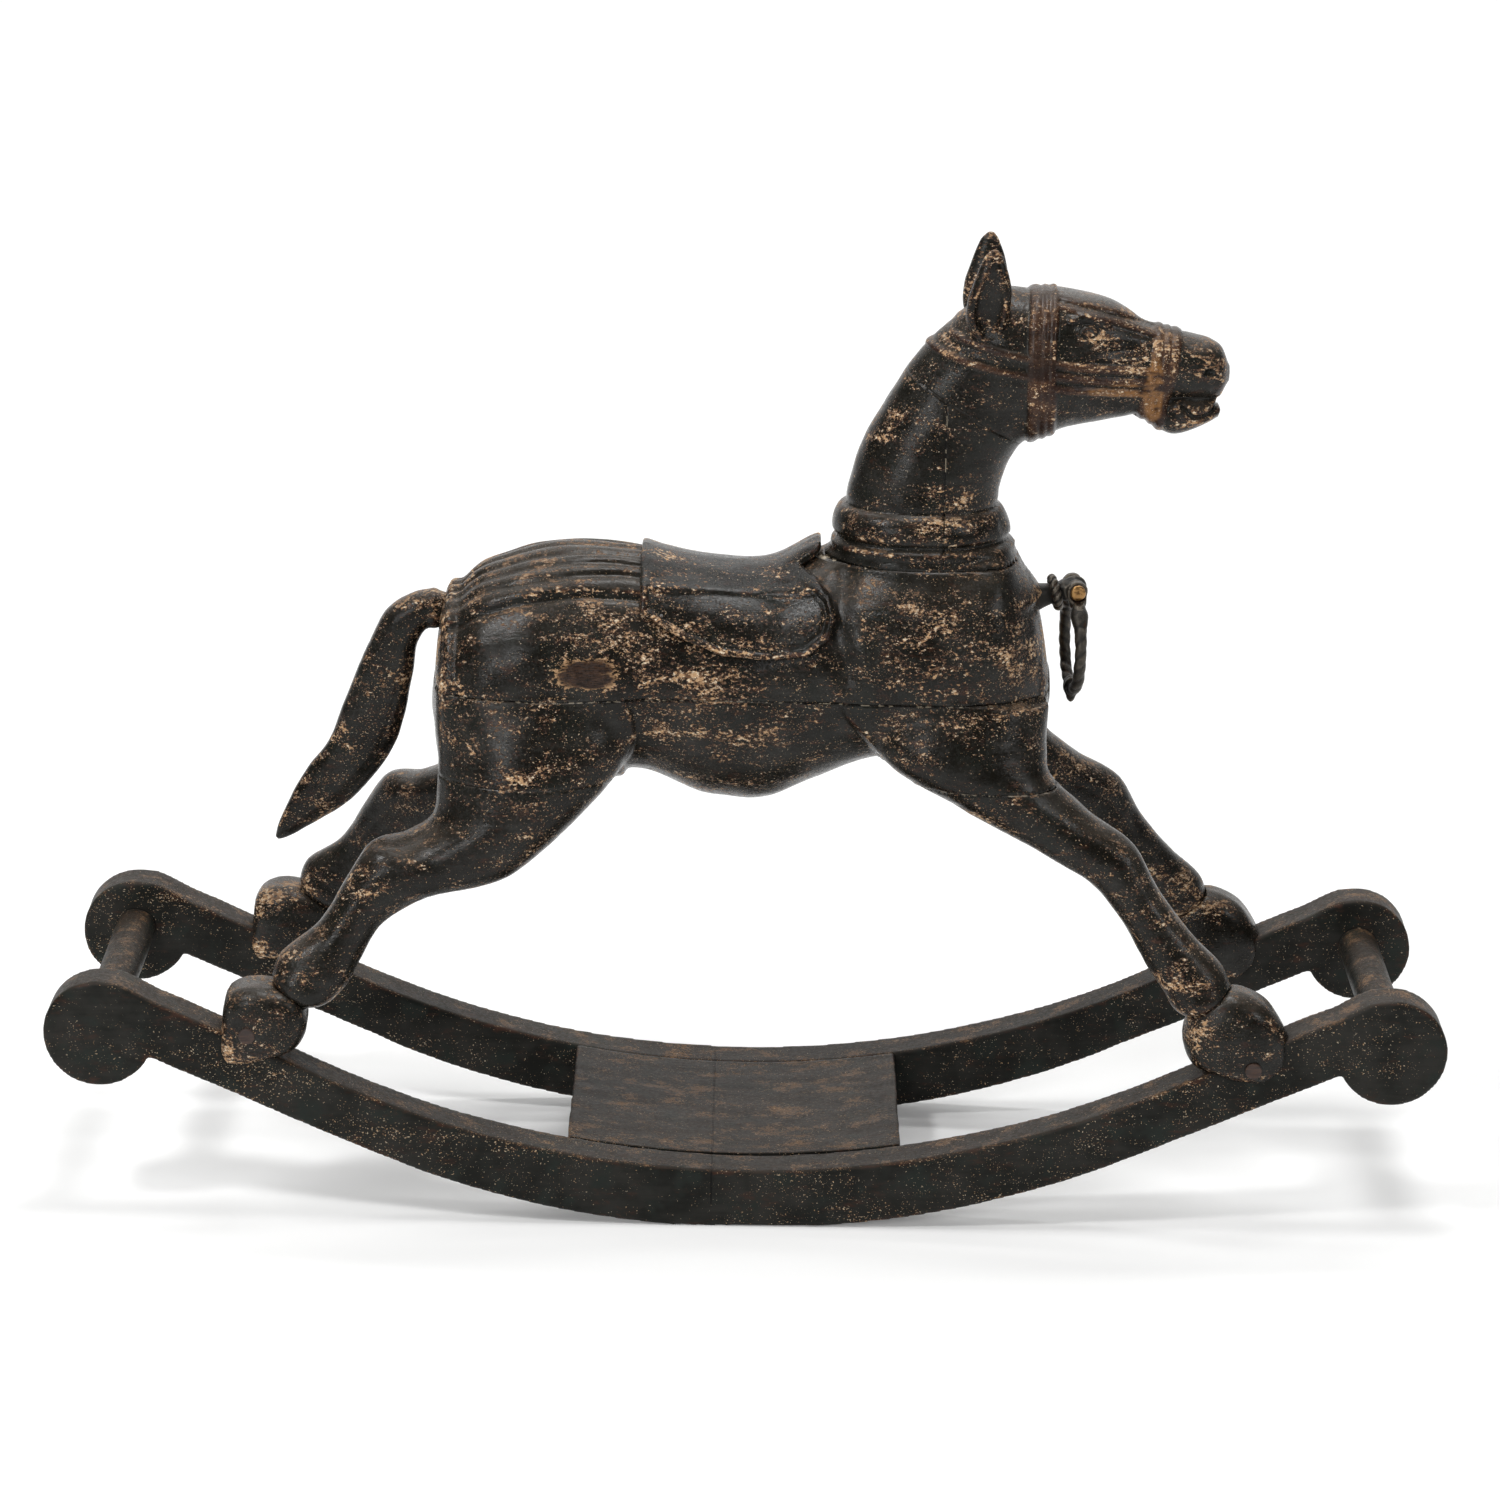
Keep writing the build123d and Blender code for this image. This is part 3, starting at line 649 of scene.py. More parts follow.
def horse_shape(grid):
    """The carved horse without its saddle, tail, ears and hooves, and its plain barrel."""
    barrel = Limb(grid, BARREL, power=limb_power)
    hind = Limb(grid, HIND_LEG, power=limb_power).field
    fore = Limb(grid, FORE_LEG, power=limb_power).field
    neck = Limb(grid, NECK, power=limb_power).field
    body = barrel.field

    # cloth over the rump, in long pleats with a step at its edge
    turn = np.degrees(np.arctan2(np.abs(grid.y) / barrel.half_thick, barrel.across))
    clothed = (1 - step_up(grid.x, cloth_front - 4, cloth_front + 4))
    clothed = clothed * step_up(grid.x, cloth_rear - 5, cloth_rear + 5)
    cloth = step_up(-turn, -cloth_edge - 1, -cloth_edge + 1) * clothed
    wander = 1.5 * np.sin(grid.x / 21.0)
    softer = 0.35 + 0.65 * step_up(grid.x, -190, -90)
    pleats = sum(hill(turn + wander * turn / 30 - middle, 3.4) * depth
                 for middle, depth in ((0.0, 1.0), (12.0, 1.0), (22.0, softer), (31.0, softer)))
    folds = sum(hill(turn + wander * turn / 30 - middle, 5.0) for middle in (6.0, 17.0, 26.5, 36.0))
    relief = cloth * (2.6 - 2.4 * pleats + 0.9 * folds)
    relief = relief - 1.8 * hill(turn - cloth_edge - 2.5, 2.4) * clothed
    hollow = path_distance(grid, SHOULDER_HOLLOW)
    relief = relief - 4.0 * hill(hollow, 17) * step_up(-grid.y, 20, 50)
    low = step_up(-grid.z, -424, -404)
    ahead = side_of_path(grid, THIGH_EDGE)
    behind = -side_of_path(grid, SHOULDER_EDGE)
    for gap, depth, reach in ((ahead, 6.0, 70), (behind, 4.5, 55)):
        relief = relief - depth * low * step_up(gap, -1.5, 3.5) * (1 - step_up(gap, 10, reach))
    body = body - relief

    shape = smooth_union(body, hind, 6)
    shape = smooth_union(shape, fore, 7)

    # collar: a round roll with a small ridge under it
    level = grid.z - collar_z
    roll = 6.0 * np.sqrt(np.clip(1 - (level / collar_half) ** 2, 0, 1))
    ridge = 3.4 * hill(grid.z - collar_ridge_z, 5.0) ** 0.7
    neck = neck - np.maximum(roll, ridge) - 1.2 * step_up(-grid.z, -530, -524)
    neck = neck + 1.5 * hill(level - collar_half - 1.5, 3.5)
    shape = smooth_union(shape, neck, 9)
    shape = shape + 1.6 * hill(grid.z - collar_ridge_z - 5.0, 2.6) * step_up(-grid.x, -225, -205)
    shape = shape + 1.2 * hill(path_distance(grid, CHEST_FOLD), 2.4)

    skull = Limb(grid, SKULL, power=2.25).field
    if skull.min() < FAR:
        shape = smooth_union(shape, carved_head(grid, skull), 9)
        shape = shape - bridle_relief(grid)
    rough = lumps(grid, 17.0, 11) * 0.55 + lumps(grid, (11.0, 6.0, 6.0), 12) * 0.28
    return shape + rough, barrel


def crop(grid, x_range, y_range, z_range, fields):
    """The part of a grid in a box, and the fields there."""
    box = []
    first = []
    for axis, ends in zip((grid.x, grid.y, grid.z), (x_range, y_range, z_range)):
        places = axis.ravel()
        window = slice(*np.searchsorted(places, ends))
        box.append(window)
        first.append(places[window].min())
    cut = [np.broadcast_to(field, grid.shape)[tuple(box)] for field in fields]
    return SimpleNamespace(step=grid.step, low=np.array(first)), cut


def make_horse(paint):
    """The body, neck and legs, cut at the same joints as the CAD model."""
    grid = Grid((-378, -140, 150), (388, 0, 700), body_step)
    shape, barrel = horse_shape(grid)
    above_leg = leg_joint_z - grid.z
    head_joint = line_side(grid, poll, throat)
    outside_barrel = barrel.field - leg_joint_out
    above_body = neck_joint_z - grid.z
    behind_neck = neck_joint_x - grid.x
    ahead_of_seam = grid.x - neck_seam_x
    neck_room = np.minimum(-above_body, -behind_neck)
    leg_room = np.minimum(outside_barrel, above_leg)
    blocks = [
        ("body_upper", (-262, 245), (body_seam_z - 9, 545), body_seam_z - grid.z, neck_room),
        ("body_lower", (-262, 245), (305, body_seam_z + 9), grid.z - body_seam_z, leg_room),
        ("neck_rear", (45, 160), (505, 700), above_body, ahead_of_seam, head_joint, behind_neck),
        ("neck_front", (140, 245), (505, 700), above_body, -ahead_of_seam, head_joint),
    ]
    for node, x_range, z_range, *joints in blocks:
        part, cut = crop(grid, x_range, (-140, 1), z_range, [shape, *joints])
        make("carved", node, part, [mirrored(field) for field in cut], paint)
    for node, x_range in (("hind_leg", (-378, -85)), ("fore_leg", (90, 388))):
        joints = [-above_leg, -outside_barrel]
        part, cut = crop(grid, x_range, (-140, -5), (150, 362), [shape, *joints])
        make_pair("carved", node, part, cut, paint)


def make_head(paint):
    """The head on a finer grid, and where its straps are."""
    grid = Grid((100, -52, 598), (372, 0, 752), head_step)
    shape, _ = horse_shape(grid)
    joint = np.broadcast_to(-line_side(grid, poll, throat), grid.shape)
    fields = [mirrored(shape), mirrored(joint)]
    strap = mirrored(np.broadcast_to(step_up(bridle_relief(grid), 0.7, 1.3), grid.shape))
    make("carved", "head", grid, fields, paint, strap=strap)


def make_ears(paint):
    """Pricked ears, hollowed on their outer face."""
    grid = Grid((150, -56, 684), (202, -10, 768), ear_step)
    leaf = Limb(grid, EAR, power=2.2).field
    scoop = Limb(grid, EAR_HOLLOW).field
    shape = smooth_cut(leaf, -scoop, 2.0) + lumps(grid, 7.0, 21) * 0.3
    make_pair("carved", "ear", grid, [shape], paint)


def make_tail(paint):
    """The tail, with a step near its root and long shallow grooves."""
    grid = Grid((-388, -26, 262), (-228, 0, 492), tail_step)
    tail = Limb(grid, TAIL, power=2.5)
    shape = tail.field - 1.2 * hill(grid.x + 250, 5) * step_up(grid.z, 430, 445)
    grooves = sum(hill(tail.across + middle, 0.1) for middle in (-0.45, 0.1, 0.55))
    shape = shape + 0.45 * grooves * step_up(-grid.z, -440, -400)
    shape = shape + lumps(grid, 14.0, 31) * 0.5 + lumps(grid, 6.0, 32) * 0.2
    barrel = Limb(grid, BARREL, power=limb_power).field
    make("carved", "tail", grid, [mirrored(shape), mirrored(-barrel)], paint)


def make_saddle(paint):
    """The saddle, a panel off the back with a rim round its flaps and a fold under the seat."""
    grid = Grid((-94, -98, 440), (72, 0, 545), saddle_step)
    barrel = Limb(grid, BARREL, power=limb_power).field
    outline = polygon(grid, SADDLE_SIDE)
    tongue_side = np.abs(grid.y) - 27 + 0.15 * np.maximum(grid.x - 20, 0)
    tongue = rounded_plate(np.abs(grid.x - 22) - 31, tongue_side, 9)
    outline = np.minimum(outline, np.maximum(tongue, 505 - grid.z))
    pommel = step_up(grid.x, 16, 52) * step_up(grid.y, -36, -14)
    cantle = step_up(-grid.x, 66, 87) * step_up(grid.y, -60, -40)
    thick = 7.0 + 5.0 * pommel + 2.0 * cantle
    on_flap = step_up(-grid.z, -506, -498)
    rim = hill(-outline - 3.0, 3.4) ** strap_power * on_flap
    groove = hill(-outline - 7.5, 2.4) * on_flap
    thick = thick + 1.6 * rim - 1.0 * groove + 1.7 * hill(path_distance(grid, SEAT_FOLD), 5.5)
    belly = np.hypot((grid.x + 4) / 58, (grid.z - 470) / 24)
    thick = thick + 2.0 * hill(belly, 1.1)
    outer = barrel - thick + lumps(grid, (22.0, 7.0, 7.0), 41) * 0.5
    outer = outer + lumps(grid, 5.0, 42) * 0.15
    inner = 5.0 * pommel + 0.2 - barrel
    shape = smooth_cut(smooth_cut(outer, outline, 3.5), inner, 1.0)
    make("carved", "saddle", grid, [mirrored(shape)], paint, "saddle_paint")


# ---- hooves -----------------------------------------------------------------------------
def make_hooves(paint):
    """Hooves with domed sides and rounded edges, notched over the rockers."""
    for end, outline, stations, bulge, edge in (("hind", HIND_HOOF, HIND_LEG, 8.0, 11.0),
                                                ("fore", FORE_HOOF, FORE_LEG, 11.0, 12.0)):
        points = np.array(outline, float)
        low, high = points.min(0), points.max(0)
        half = hoof_width / 2
        grid = Grid((low[0] - 4, rocker_mid - half - 4, low[1] - 4),
                    (high[0] + 4, rocker_mid + half + 4, high[1] + 4), hoof_step)
        middle = (low + high) / 2
        away = np.hypot(grid.x - middle[0], grid.z - middle[1]) / 40
        across = np.abs(grid.y - rocker_mid) - half + bulge * away**2
        shape = rounded_plate(polygon(grid, outline, 4), across, edge)
        shape = shape + lumps(grid, 15.0, 51) * 0.7 + lumps(grid, 6.0, 52) * 0.2
        leg = Limb(grid, stations, power=limb_power).field - 0.6
        rocker = rocker_field(grid) + 0.8
        make_pair("carved", f"{end}_hoof", grid, [shape, -leg, -rocker], paint)


# ---- rockers, footboard and bars -----------------------------------------------------------
flat_half = rocker_flat / 2
flat_rise = rocker_radius - sqrt(rocker_radius**2 - flat_half**2)


def lower_edge(x):
    """Height of the rockers' lower edge, and its slope."""
    reach = np.minimum(np.abs(x), lower_arc_reach)
    root = np.sqrt(rocker_radius**2 - reach**2)
    slope = reach / root
    height = rocker_radius - root - flat_rise + (np.abs(x) - reach) * slope
    return np.maximum(height, 0), np.where(height > 0, slope, 0)


def upper_edge(x, drop=0.0):
    """Height of the rockers' upper edge or of a line that far below it, and its slope."""
    radius = rocker_top_radius + drop
    reach = np.minimum(np.abs(x), upper_arc_reach)
    root = np.sqrt(radius**2 - reach**2)
    slope = reach / root
    return rocker_depth - drop + radius - root + (np.abs(x) - reach) * slope, slope


def square(slope):
    return 1 / np.sqrt(1 + slope * slope)


def rocker_field(grid, edge=2.2):
    low, low_slope = lower_edge(grid.x)
    high, high_slope = upper_edge(grid.x)
    band = np.maximum((low - grid.z) * square(low_slope), (grid.z - high) * square(high_slope))
    band = np.maximum(band, np.abs(grid.x) - (crossbar_x - end_disc_radius * 0.35))
    band = smooth_cut(band, grid.z - end_disc_z - end_disc_radius + 0.5, 24)
    disc = np.hypot(np.abs(grid.x) - crossbar_x, grid.z - end_disc_z) - end_disc_radius
    blend = 2 + 10 * step_up(grid.z - end_disc_z, -5, 20)
    plate = smooth_union(band, disc, blend)
    return rounded_plate(plate, np.abs(grid.y - rocker_mid) - rocker_thick / 2, edge)


def make_rockers(paint):
    """Sawn boards, with a little wave and grain of their own."""
    grid = Grid((rocker_low[0] - 4, rocker_low[1] - 4, -4),
                (rocker_high[0] + 4, rocker_high[1] + 4, rocker_high[2] + 4), rocker_step)
    for side, seed in (("right", 61), ("left", 63)):
        node = f"rocker_{side}"
        shape = rocker_field(grid)
        shape = shape + lumps(grid, (60.0, 14.0, 14.0), seed) * 0.35
        shape = shape + np.abs(lumps(grid, 8.0, seed + 1)) * 0.25
        make("shaped", node, grid, [shape], paint, "rocker_paint", mirror=side == "left")


def make_footboard(paint):
    grid = Grid((board_low[0] - 4, board_low[1] - 1, board_low[2] - 4),
                (board_high[0] + 4, board_high[1] + 1, board_high[2] + 4), board_step)
    high, slope = upper_edge(grid.x)
    low, _ = upper_edge(grid.x, footboard_thick)
    across = np.maximum((low - grid.z) * square(slope), (grid.z - high) * square(slope))
    middle = (board_low[0] + board_high[0]) / 2
    length = (board_high[0] - board_low[0]) / 2
    shape = rounded_plate(np.abs(grid.x - middle) - length, across, 2.0)
    shape = shape + lumps(grid, (40.0, 9.0, 9.0), 71) * 0.35 + lumps(grid, 6.0, 72) * 0.12
    sides = np.abs(grid.y) - (board_high[1] - 0.1)
    make("shaped", "footboard", grid, [shape, sides], paint, "rocker_paint")


def make_crossbars(paint):
    """Round bars between the end discs, uneven from the lathe."""
    for node, sign, seed in (("front_crossbar", 1, 81), ("rear_crossbar", -1, 83)):
        x = sign * crossbar_x
        reach = crossbar_radius + 3
        grid = Grid((x - reach, -inner_face - 2, crossbar_z - reach),
                    (x + reach, inner_face + 2, crossbar_z + reach), hoof_step)
        shape = np.hypot(grid.x - x, grid.z - crossbar_z) - crossbar_radius
        shape = shape + lumps(grid, (9.0, 30.0, 9.0), seed) * 0.45
        ends = np.abs(grid.y) - (inner_face - 0.1)
        make("turned", node, grid, [shape, ends], paint, "rocker_paint")


# ---- the pull ring and its post -------------------------------------------------------------
post_pitch = radians(13.0)
post_reach = 33.0          # from the chest to the pin
collar_reach = 17.0
collar_radius = 11.5
lug_offset = 12.0
lug_thick = 6.0
lug_radius = 8.0
pin_radius = 3.0
pin_head_radius = 6.0
ring_drop = 44.0
ring_radius = 38.0
ring_gap = 0.1             # left between the ring and what it turns on


def grid_round(node, step, margin):
    """A grid over a CAD node's box."""
    low, high = corners(node)
    return Grid(low - margin, high + margin, step)


class PinFrame:
    """Where grid points lie from the pin: along it, out along the post and up from the post."""

    def __init__(self, grid):
        pin = Vector(hinge["pos_m"]) / MM
        along = -Vector(hinge["axis"]).normalized()
        ahead = Vector((along.y, -along.x, 0))
        out = ahead * cos(post_pitch) + Vector((0, 0, sin(post_pitch)))
        up = out.cross(along)
        x, y, z = grid.x - pin.x, grid.y - pin.y, grid.z - pin.z
        self.along = x * along.x + y * along.y + z * along.z
        self.out = x * out.x + y * out.y + z * out.z
        self.up = x * up.x + y * up.y + z * up.z
        self.ahead = x * ahead.x + y * ahead.y
        self.z = z
        self.from_axis = np.hypot(self.ahead, z)


def make_ring_post(iron):
    """A tapering stem that curls up and over the pin like a scroll, with ribs along the scroll."""
    grid = grid_round("ring_post", iron_step, 3.0)
    pin = PinFrame(grid)
    reach = pin.out + post_reach
    across = (np.abs(pin.along) ** 2.6 + np.abs(pin.up) ** 2.6 + 1e-6) ** (1 / 2.6)
    taper = 11.6 - 4.2 * step_up(reach, -6, 18) + 1.0 * hill(reach - 25, 4)
    stem = np.maximum(across - taper, reach - post_reach)
    shank = np.hypot(pin.along, pin.up) - 4.0
    stem = np.where(reach < -4, shank, stem)
    turn = np.arctan2(pin.z, pin.ahead)
    scroll = 8.6 + 0.8 * np.cos(pin.along * pi / 4.2) - 0.03 * pin.along**2
    scroll = scroll + 0.35 * np.sin(turn * 2)
    knuckle_half = lug_offset - lug_thick / 2 - 0.5
    knuckle = smooth_cut(pin.from_axis - scroll, np.abs(pin.along) - knuckle_half, 2.0)
    shape = smooth_union(stem, knuckle, 4.0)
    ahead_of_collar = np.where(reach > collar_reach + 5, np.abs(pin.along) - knuckle_half, -FAR)
    shape = np.maximum(shape, ahead_of_collar)
    shape = np.maximum(shape, pin_radius - pin.from_axis)
    shape = shape + lumps(grid, 5.0, 91) * 0.25
    make("cast", "ring_post", grid, [shape], iron, "iron")


def make_ring_collar(iron):
    """Two strands twisted into a ring round the post."""
    grid = grid_round("ring_collar", iron_step, 3.0)
    pin = PinFrame(grid)
    reach = pin.out + post_reach - collar_reach
    out = np.hypot(pin.along, pin.up) - collar_radius + 0.4
    turn = np.arctan2(pin.up, pin.along)
    strand = np.arctan2(reach, out)
    bar = 2.7 + 1.1 * np.abs(np.cos(strand + 7 * turn))
    shape = np.hypot(out, reach) - bar + lumps(grid, 4.0, 92) * 0.15
    make("cast", "ring_collar", grid, [shape], iron, "iron")


def make_ring_pin(brass):
    """A pin with a domed and rimmed head at each end."""
    grid = grid_round("ring_pin", pin_step, 3.0)
    pin = PinFrame(grid)
    start = lug_offset + lug_thick / 2 + 0.4
    rod = np.maximum(pin.from_axis - pin_radius + 0.1, np.abs(pin.along) - start - 1)
    above = np.abs(pin.along) - start
    dome = np.hypot(pin.from_axis, 1.6 * np.maximum(above - 0.9, 0)) - pin_head_radius - 0.2
    head = smooth_cut(dome, -above, 0.8) + 0.6 * hill(pin.from_axis - 4.3, 0.9) * (above > 0)
    head = head + 0.5 * hill(pin.from_axis, 1.2)
    shape = np.minimum(rod, np.maximum(head, above - 3.6)) + lumps(grid, 3.0, 93) * 0.1
    make("cast", "ring_pin", grid, [shape], brass, "brass")


def make_pull_ring(iron):
    """A cast ring with leaves along its two sides, a rough bar and a leafy drop below."""
    grid = grid_round("pull_ring", iron_step, 6.0)
    pin = PinFrame(grid)
    down = pin.z + ring_drop
    from_centre = np.hypot(pin.along, down)
    turn = np.arctan2(pin.along, down)
    around = np.arctan2(pin.ahead, from_centre - ring_radius)
    along_bar = np.abs(turn) * ring_radius
    leafy = step_up(-np.abs(turn), -1.25, -0.75)
    strands = 0.5 * np.abs(np.cos(around + along_bar / 3.4))
    leaves = leafy * (0.5 + 1.9 * np.abs(np.sin(along_bar / 6.2)) ** 0.7)
    bar = 4.3 + strands + leaves
    shape = np.hypot(from_centre - ring_radius, pin.ahead) - bar
    drop = np.sqrt((pin.along / 1.5) ** 2 + pin.ahead**2 + ((down + 37) / 1.3) ** 2) - 6.6
    drop = drop + 0.9 * np.abs(np.cos(np.arctan2(pin.along, down + 62) * 13))
    tip = np.sqrt(pin.along**2 + pin.ahead**2 + ((down + 45) / 1.4) ** 2) - 3.4
    shape = smooth_union(smooth_union(shape, drop, 3.0), tip, 3.0)
    lug_away = np.abs(np.abs(pin.along) - lug_offset) - lug_thick / 2 + ring_gap
    lug = smooth_cut(pin.from_axis - lug_radius - 0.2, lug_away, 1.5)
    shape = smooth_union(shape, lug, 4.0)
    inside_lugs = lug_offset - lug_thick / 2 + ring_gap - np.abs(pin.along)
    shape = np.maximum(shape, np.where(pin.from_axis < 14.0, inside_lugs, -FAR))
    outside_lugs = np.abs(pin.along) - lug_offset - lug_thick / 2 + ring_gap
    shape = np.maximum(shape, np.where(pin.from_axis < 7.5, outside_lugs, -FAR))
    shape = np.maximum(shape, pin_radius + ring_gap - pin.from_axis)
    shape = shape + lumps(grid, 4.0, 94) * 0.3
    make("cast", "pull_ring", grid, [shape], iron, "iron", body="ring")


def make_plugs(filler):
    """Round wooden plugs over the hoof screws, sunk a little and dished."""
    low, high = corners("hoof_plugs")
    radius = plug_radius
    face = low[1]
    for end, x, z in (("fore", high[0] - radius, low[2] + radius),
                      ("hind", low[0] + radius, high[2] - radius)):
        grid = Grid((x - 9, face - 2, z - 9), (x + 9, face + 7, z + 9), iron_step)
        away = np.hypot(grid.x - x, grid.z - z)
        dish = 0.6 * hill(away, radius * 1.2) - 0.25
        shape = smooth_cut(away - radius - 0.5, face + dish - grid.y, 0.8)
        shape = np.maximum(shape, grid.y - face - 5) + lumps(grid, 4.0, 95) * 0.12
        for side in ("right", "left"):
            name = f"filled_{end}_plug_{side}"
            piece = carve(name, grid, [shape], filler, mirror=side == "left")
            place(piece, "hoof_plugs", "horse_paint")


# ---- materials ------------------------------------------------------------------------------
class Number:
    """A number that nodes work out at each point of a surface, with sums on it as more nodes."""

    def __init__(self, finish, socket):
        self.finish = finish
        self.socket = socket

    def __add__(self, other):
        return self.finish.math("ADD", self, other)

    def __sub__(self, other):
        return self.finish.math("SUBTRACT", self, other)

    def __mul__(self, other):
        return self.finish.math("MULTIPLY", self, other)

    __radd__ = __add__

    def swing(self, amount):
        """A noise made to swing evenly round 0."""
        return (self - 0.5) * amount


class Finish:
    """A node material, with lengths in millimetres."""

    def __init__(self, name):
        self.material = bpy.data.materials.new(name)
        self.material.use_nodes = True
        self.tree = self.material.node_tree
        self.shader = self.tree.nodes["Principled BSDF"]
        coordinates = self.tree.nodes.new("ShaderNodeTexCoord")
        self.place = self.vector("SCALE", coordinates.outputs["Object"], scale=1 / MM)
        split = self.tree.nodes.new("ShaderNodeSeparateXYZ")
        self.join(split.inputs[0], self.place)
        self.axis = {name: Number(self, split.outputs[name.upper()]) for name in "xyz"}
        facing = self.tree.nodes.new("ShaderNodeSeparateXYZ")
        self.join(facing.inputs[0], coordinates.outputs["Normal"])
        self.upward = facing.outputs[2]

    def join(self, socket, value):
        if isinstance(value, Number):
            value = value.socket
        if isinstance(value, bpy.types.NodeSocket):
            self.tree.links.new(socket, value)
        else:
            socket.default_value = value

    def vector(self, operation, a, b=None, scale=None):
        node = self.tree.nodes.new("ShaderNodeVectorMath")
        node.operation = operation
        self.join(node.inputs[0], a)
        if b is not None:
            self.join(node.inputs[1], b)
        if scale is not None:
            self.join(node.inputs["Scale"], scale)
        return node.outputs["Value" if operation in ("LENGTH", "DISTANCE") else "Vector"]

    def math(self, operation, a, b=0.0):
        node = self.tree.nodes.new("ShaderNodeMath")
        node.operation = operation
        self.join(node.inputs[0], a)
        self.join(node.inputs[1], b)
        return Number(self, node.outputs[0])

    def noise(self, size, detail=2.0, rough=0.5, stretch=(1.0, 1.0, 1.0), shift=0.0):
        """Noise with lumps of about that size, longer by stretch along each axis."""
        factors = [1 / (size * s) for s in stretch]
        moved = self.vector("ADD", self.place, (shift, shift * 0.7, shift * 1.3))
        node = self.tree.nodes.new("ShaderNodeTexNoise")
        self.join(node.inputs["Vector"], self.vector("MULTIPLY", moved, factors))
        node.inputs["Scale"].default_value = 1.0
        node.inputs["Detail"].default_value = detail
        node.inputs["Roughness"].default_value = rough
        return Number(self, node.outputs[0])

    def ramp(self, value, low, high, to_low=0.0, to_high=1.0):
        node = self.tree.nodes.new("ShaderNodeMapRange")
        node.interpolation_type = "SMOOTHSTEP"
        self.join(node.inputs[0], value)
        for index, number in enumerate((low, high, to_low, to_high), 1):
            self.join(node.inputs[index], number)
        return Number(self, node.outputs[0])

    def mix(self, a, b, share):
        node = self.tree.nodes.new("ShaderNodeMix")
        node.data_type = "RGBA"
        self.join(node.inputs[0], share)
        for socket, value in ((node.inputs[6], a), (node.inputs[7], b)):
            self.join(socket, (*value, 1.0) if isinstance(value, tuple) else value)
        return node.outputs[2]

    def made(self, name):
        """A number stored on the mesh's vertices."""
        node = self.tree.nodes.new("ShaderNodeAttribute")
        node.attribute_name = name
        return Number(self, node.outputs["Fac"])

    def spot(self, centre, sizes):
        """1 at the middle of an oval patch, falling to 0 at its edge."""
        away = self.vector("SUBTRACT", self.place, centre)
        away = self.vector("MULTIPLY", away, [1 / size for size in sizes])
        return self.ramp(self.vector("LENGTH", away), 0.25, 1.0, 1.0, 0.0)

    def line(self, coordinate, at, width, wander=1.2):
        """1 on a thin wandering line where a coordinate has a given value."""
        bent = coordinate - at + self.noise(22.0, 2.0).swing(wander)
        return self.ramp(self.math("ABSOLUTE", bent), width * 0.35, width, 1.0, 0.0)

    def between(self, coordinate, low, high, soft=4.0):
        above = self.ramp(coordinate, low - soft, low + soft)
        return above * self.ramp(coordinate, high - soft, high + soft, 1.0, 0.0)

    def bump(self, height, depth, normal=None):
        """A bump whose height of 1 is depth millimetres."""
        node = self.tree.nodes.new("ShaderNodeBump")
        node.inputs["Strength"].default_value = 1.0
        node.inputs["Distance"].default_value = depth * MM
        self.join(node.inputs["Height"], height)
        if normal is not None:
            self.join(node.inputs["Normal"], normal)
        return node.outputs[0]

    def finish(self, colour, roughness, normal):
        self.join(self.shader.inputs["Base Color"], colour)
        self.join(self.shader.inputs["Roughness"], roughness)
        self.join(self.shader.inputs["Normal"], normal)
        return self.material


# colours in linear light
BLACK = (0.0085, 0.0088, 0.0072)
WARM_BLACK = (0.0064, 0.0055, 0.0037)
GREEN_BLACK = (0.016, 0.020, 0.017)
WARM_HAZE = (0.0105, 0.0112, 0.0088)
SMOKE = (0.024, 0.023, 0.020)
CRACK = (0.004, 0.004, 0.004)
RED_BROWN = (0.062, 0.024, 0.014)
BROWN = (0.145, 0.074, 0.038)
TAN = (0.50, 0.305, 0.158)
CREAM = (0.76, 0.64, 0.47)
DARK_LEATHER = (0.028, 0.014, 0.010)
LIGHT_LEATHER = (0.062, 0.029, 0.016)
OCHRE = (0.26, 0.125, 0.045)
DARK_HEART = (0.014, 0.009, 0.007)
LIGHT_HEART = (0.058, 0.032, 0.021)
# colours of the dust on top faces, paler than the paint: partly dust and partly a painted top light
DARK_DIRT_AND_TOP_LIGHT = (0.050, 0.032, 0.021)
PALE_DIRT_AND_TOP_LIGHT = (0.076, 0.061, 0.047)


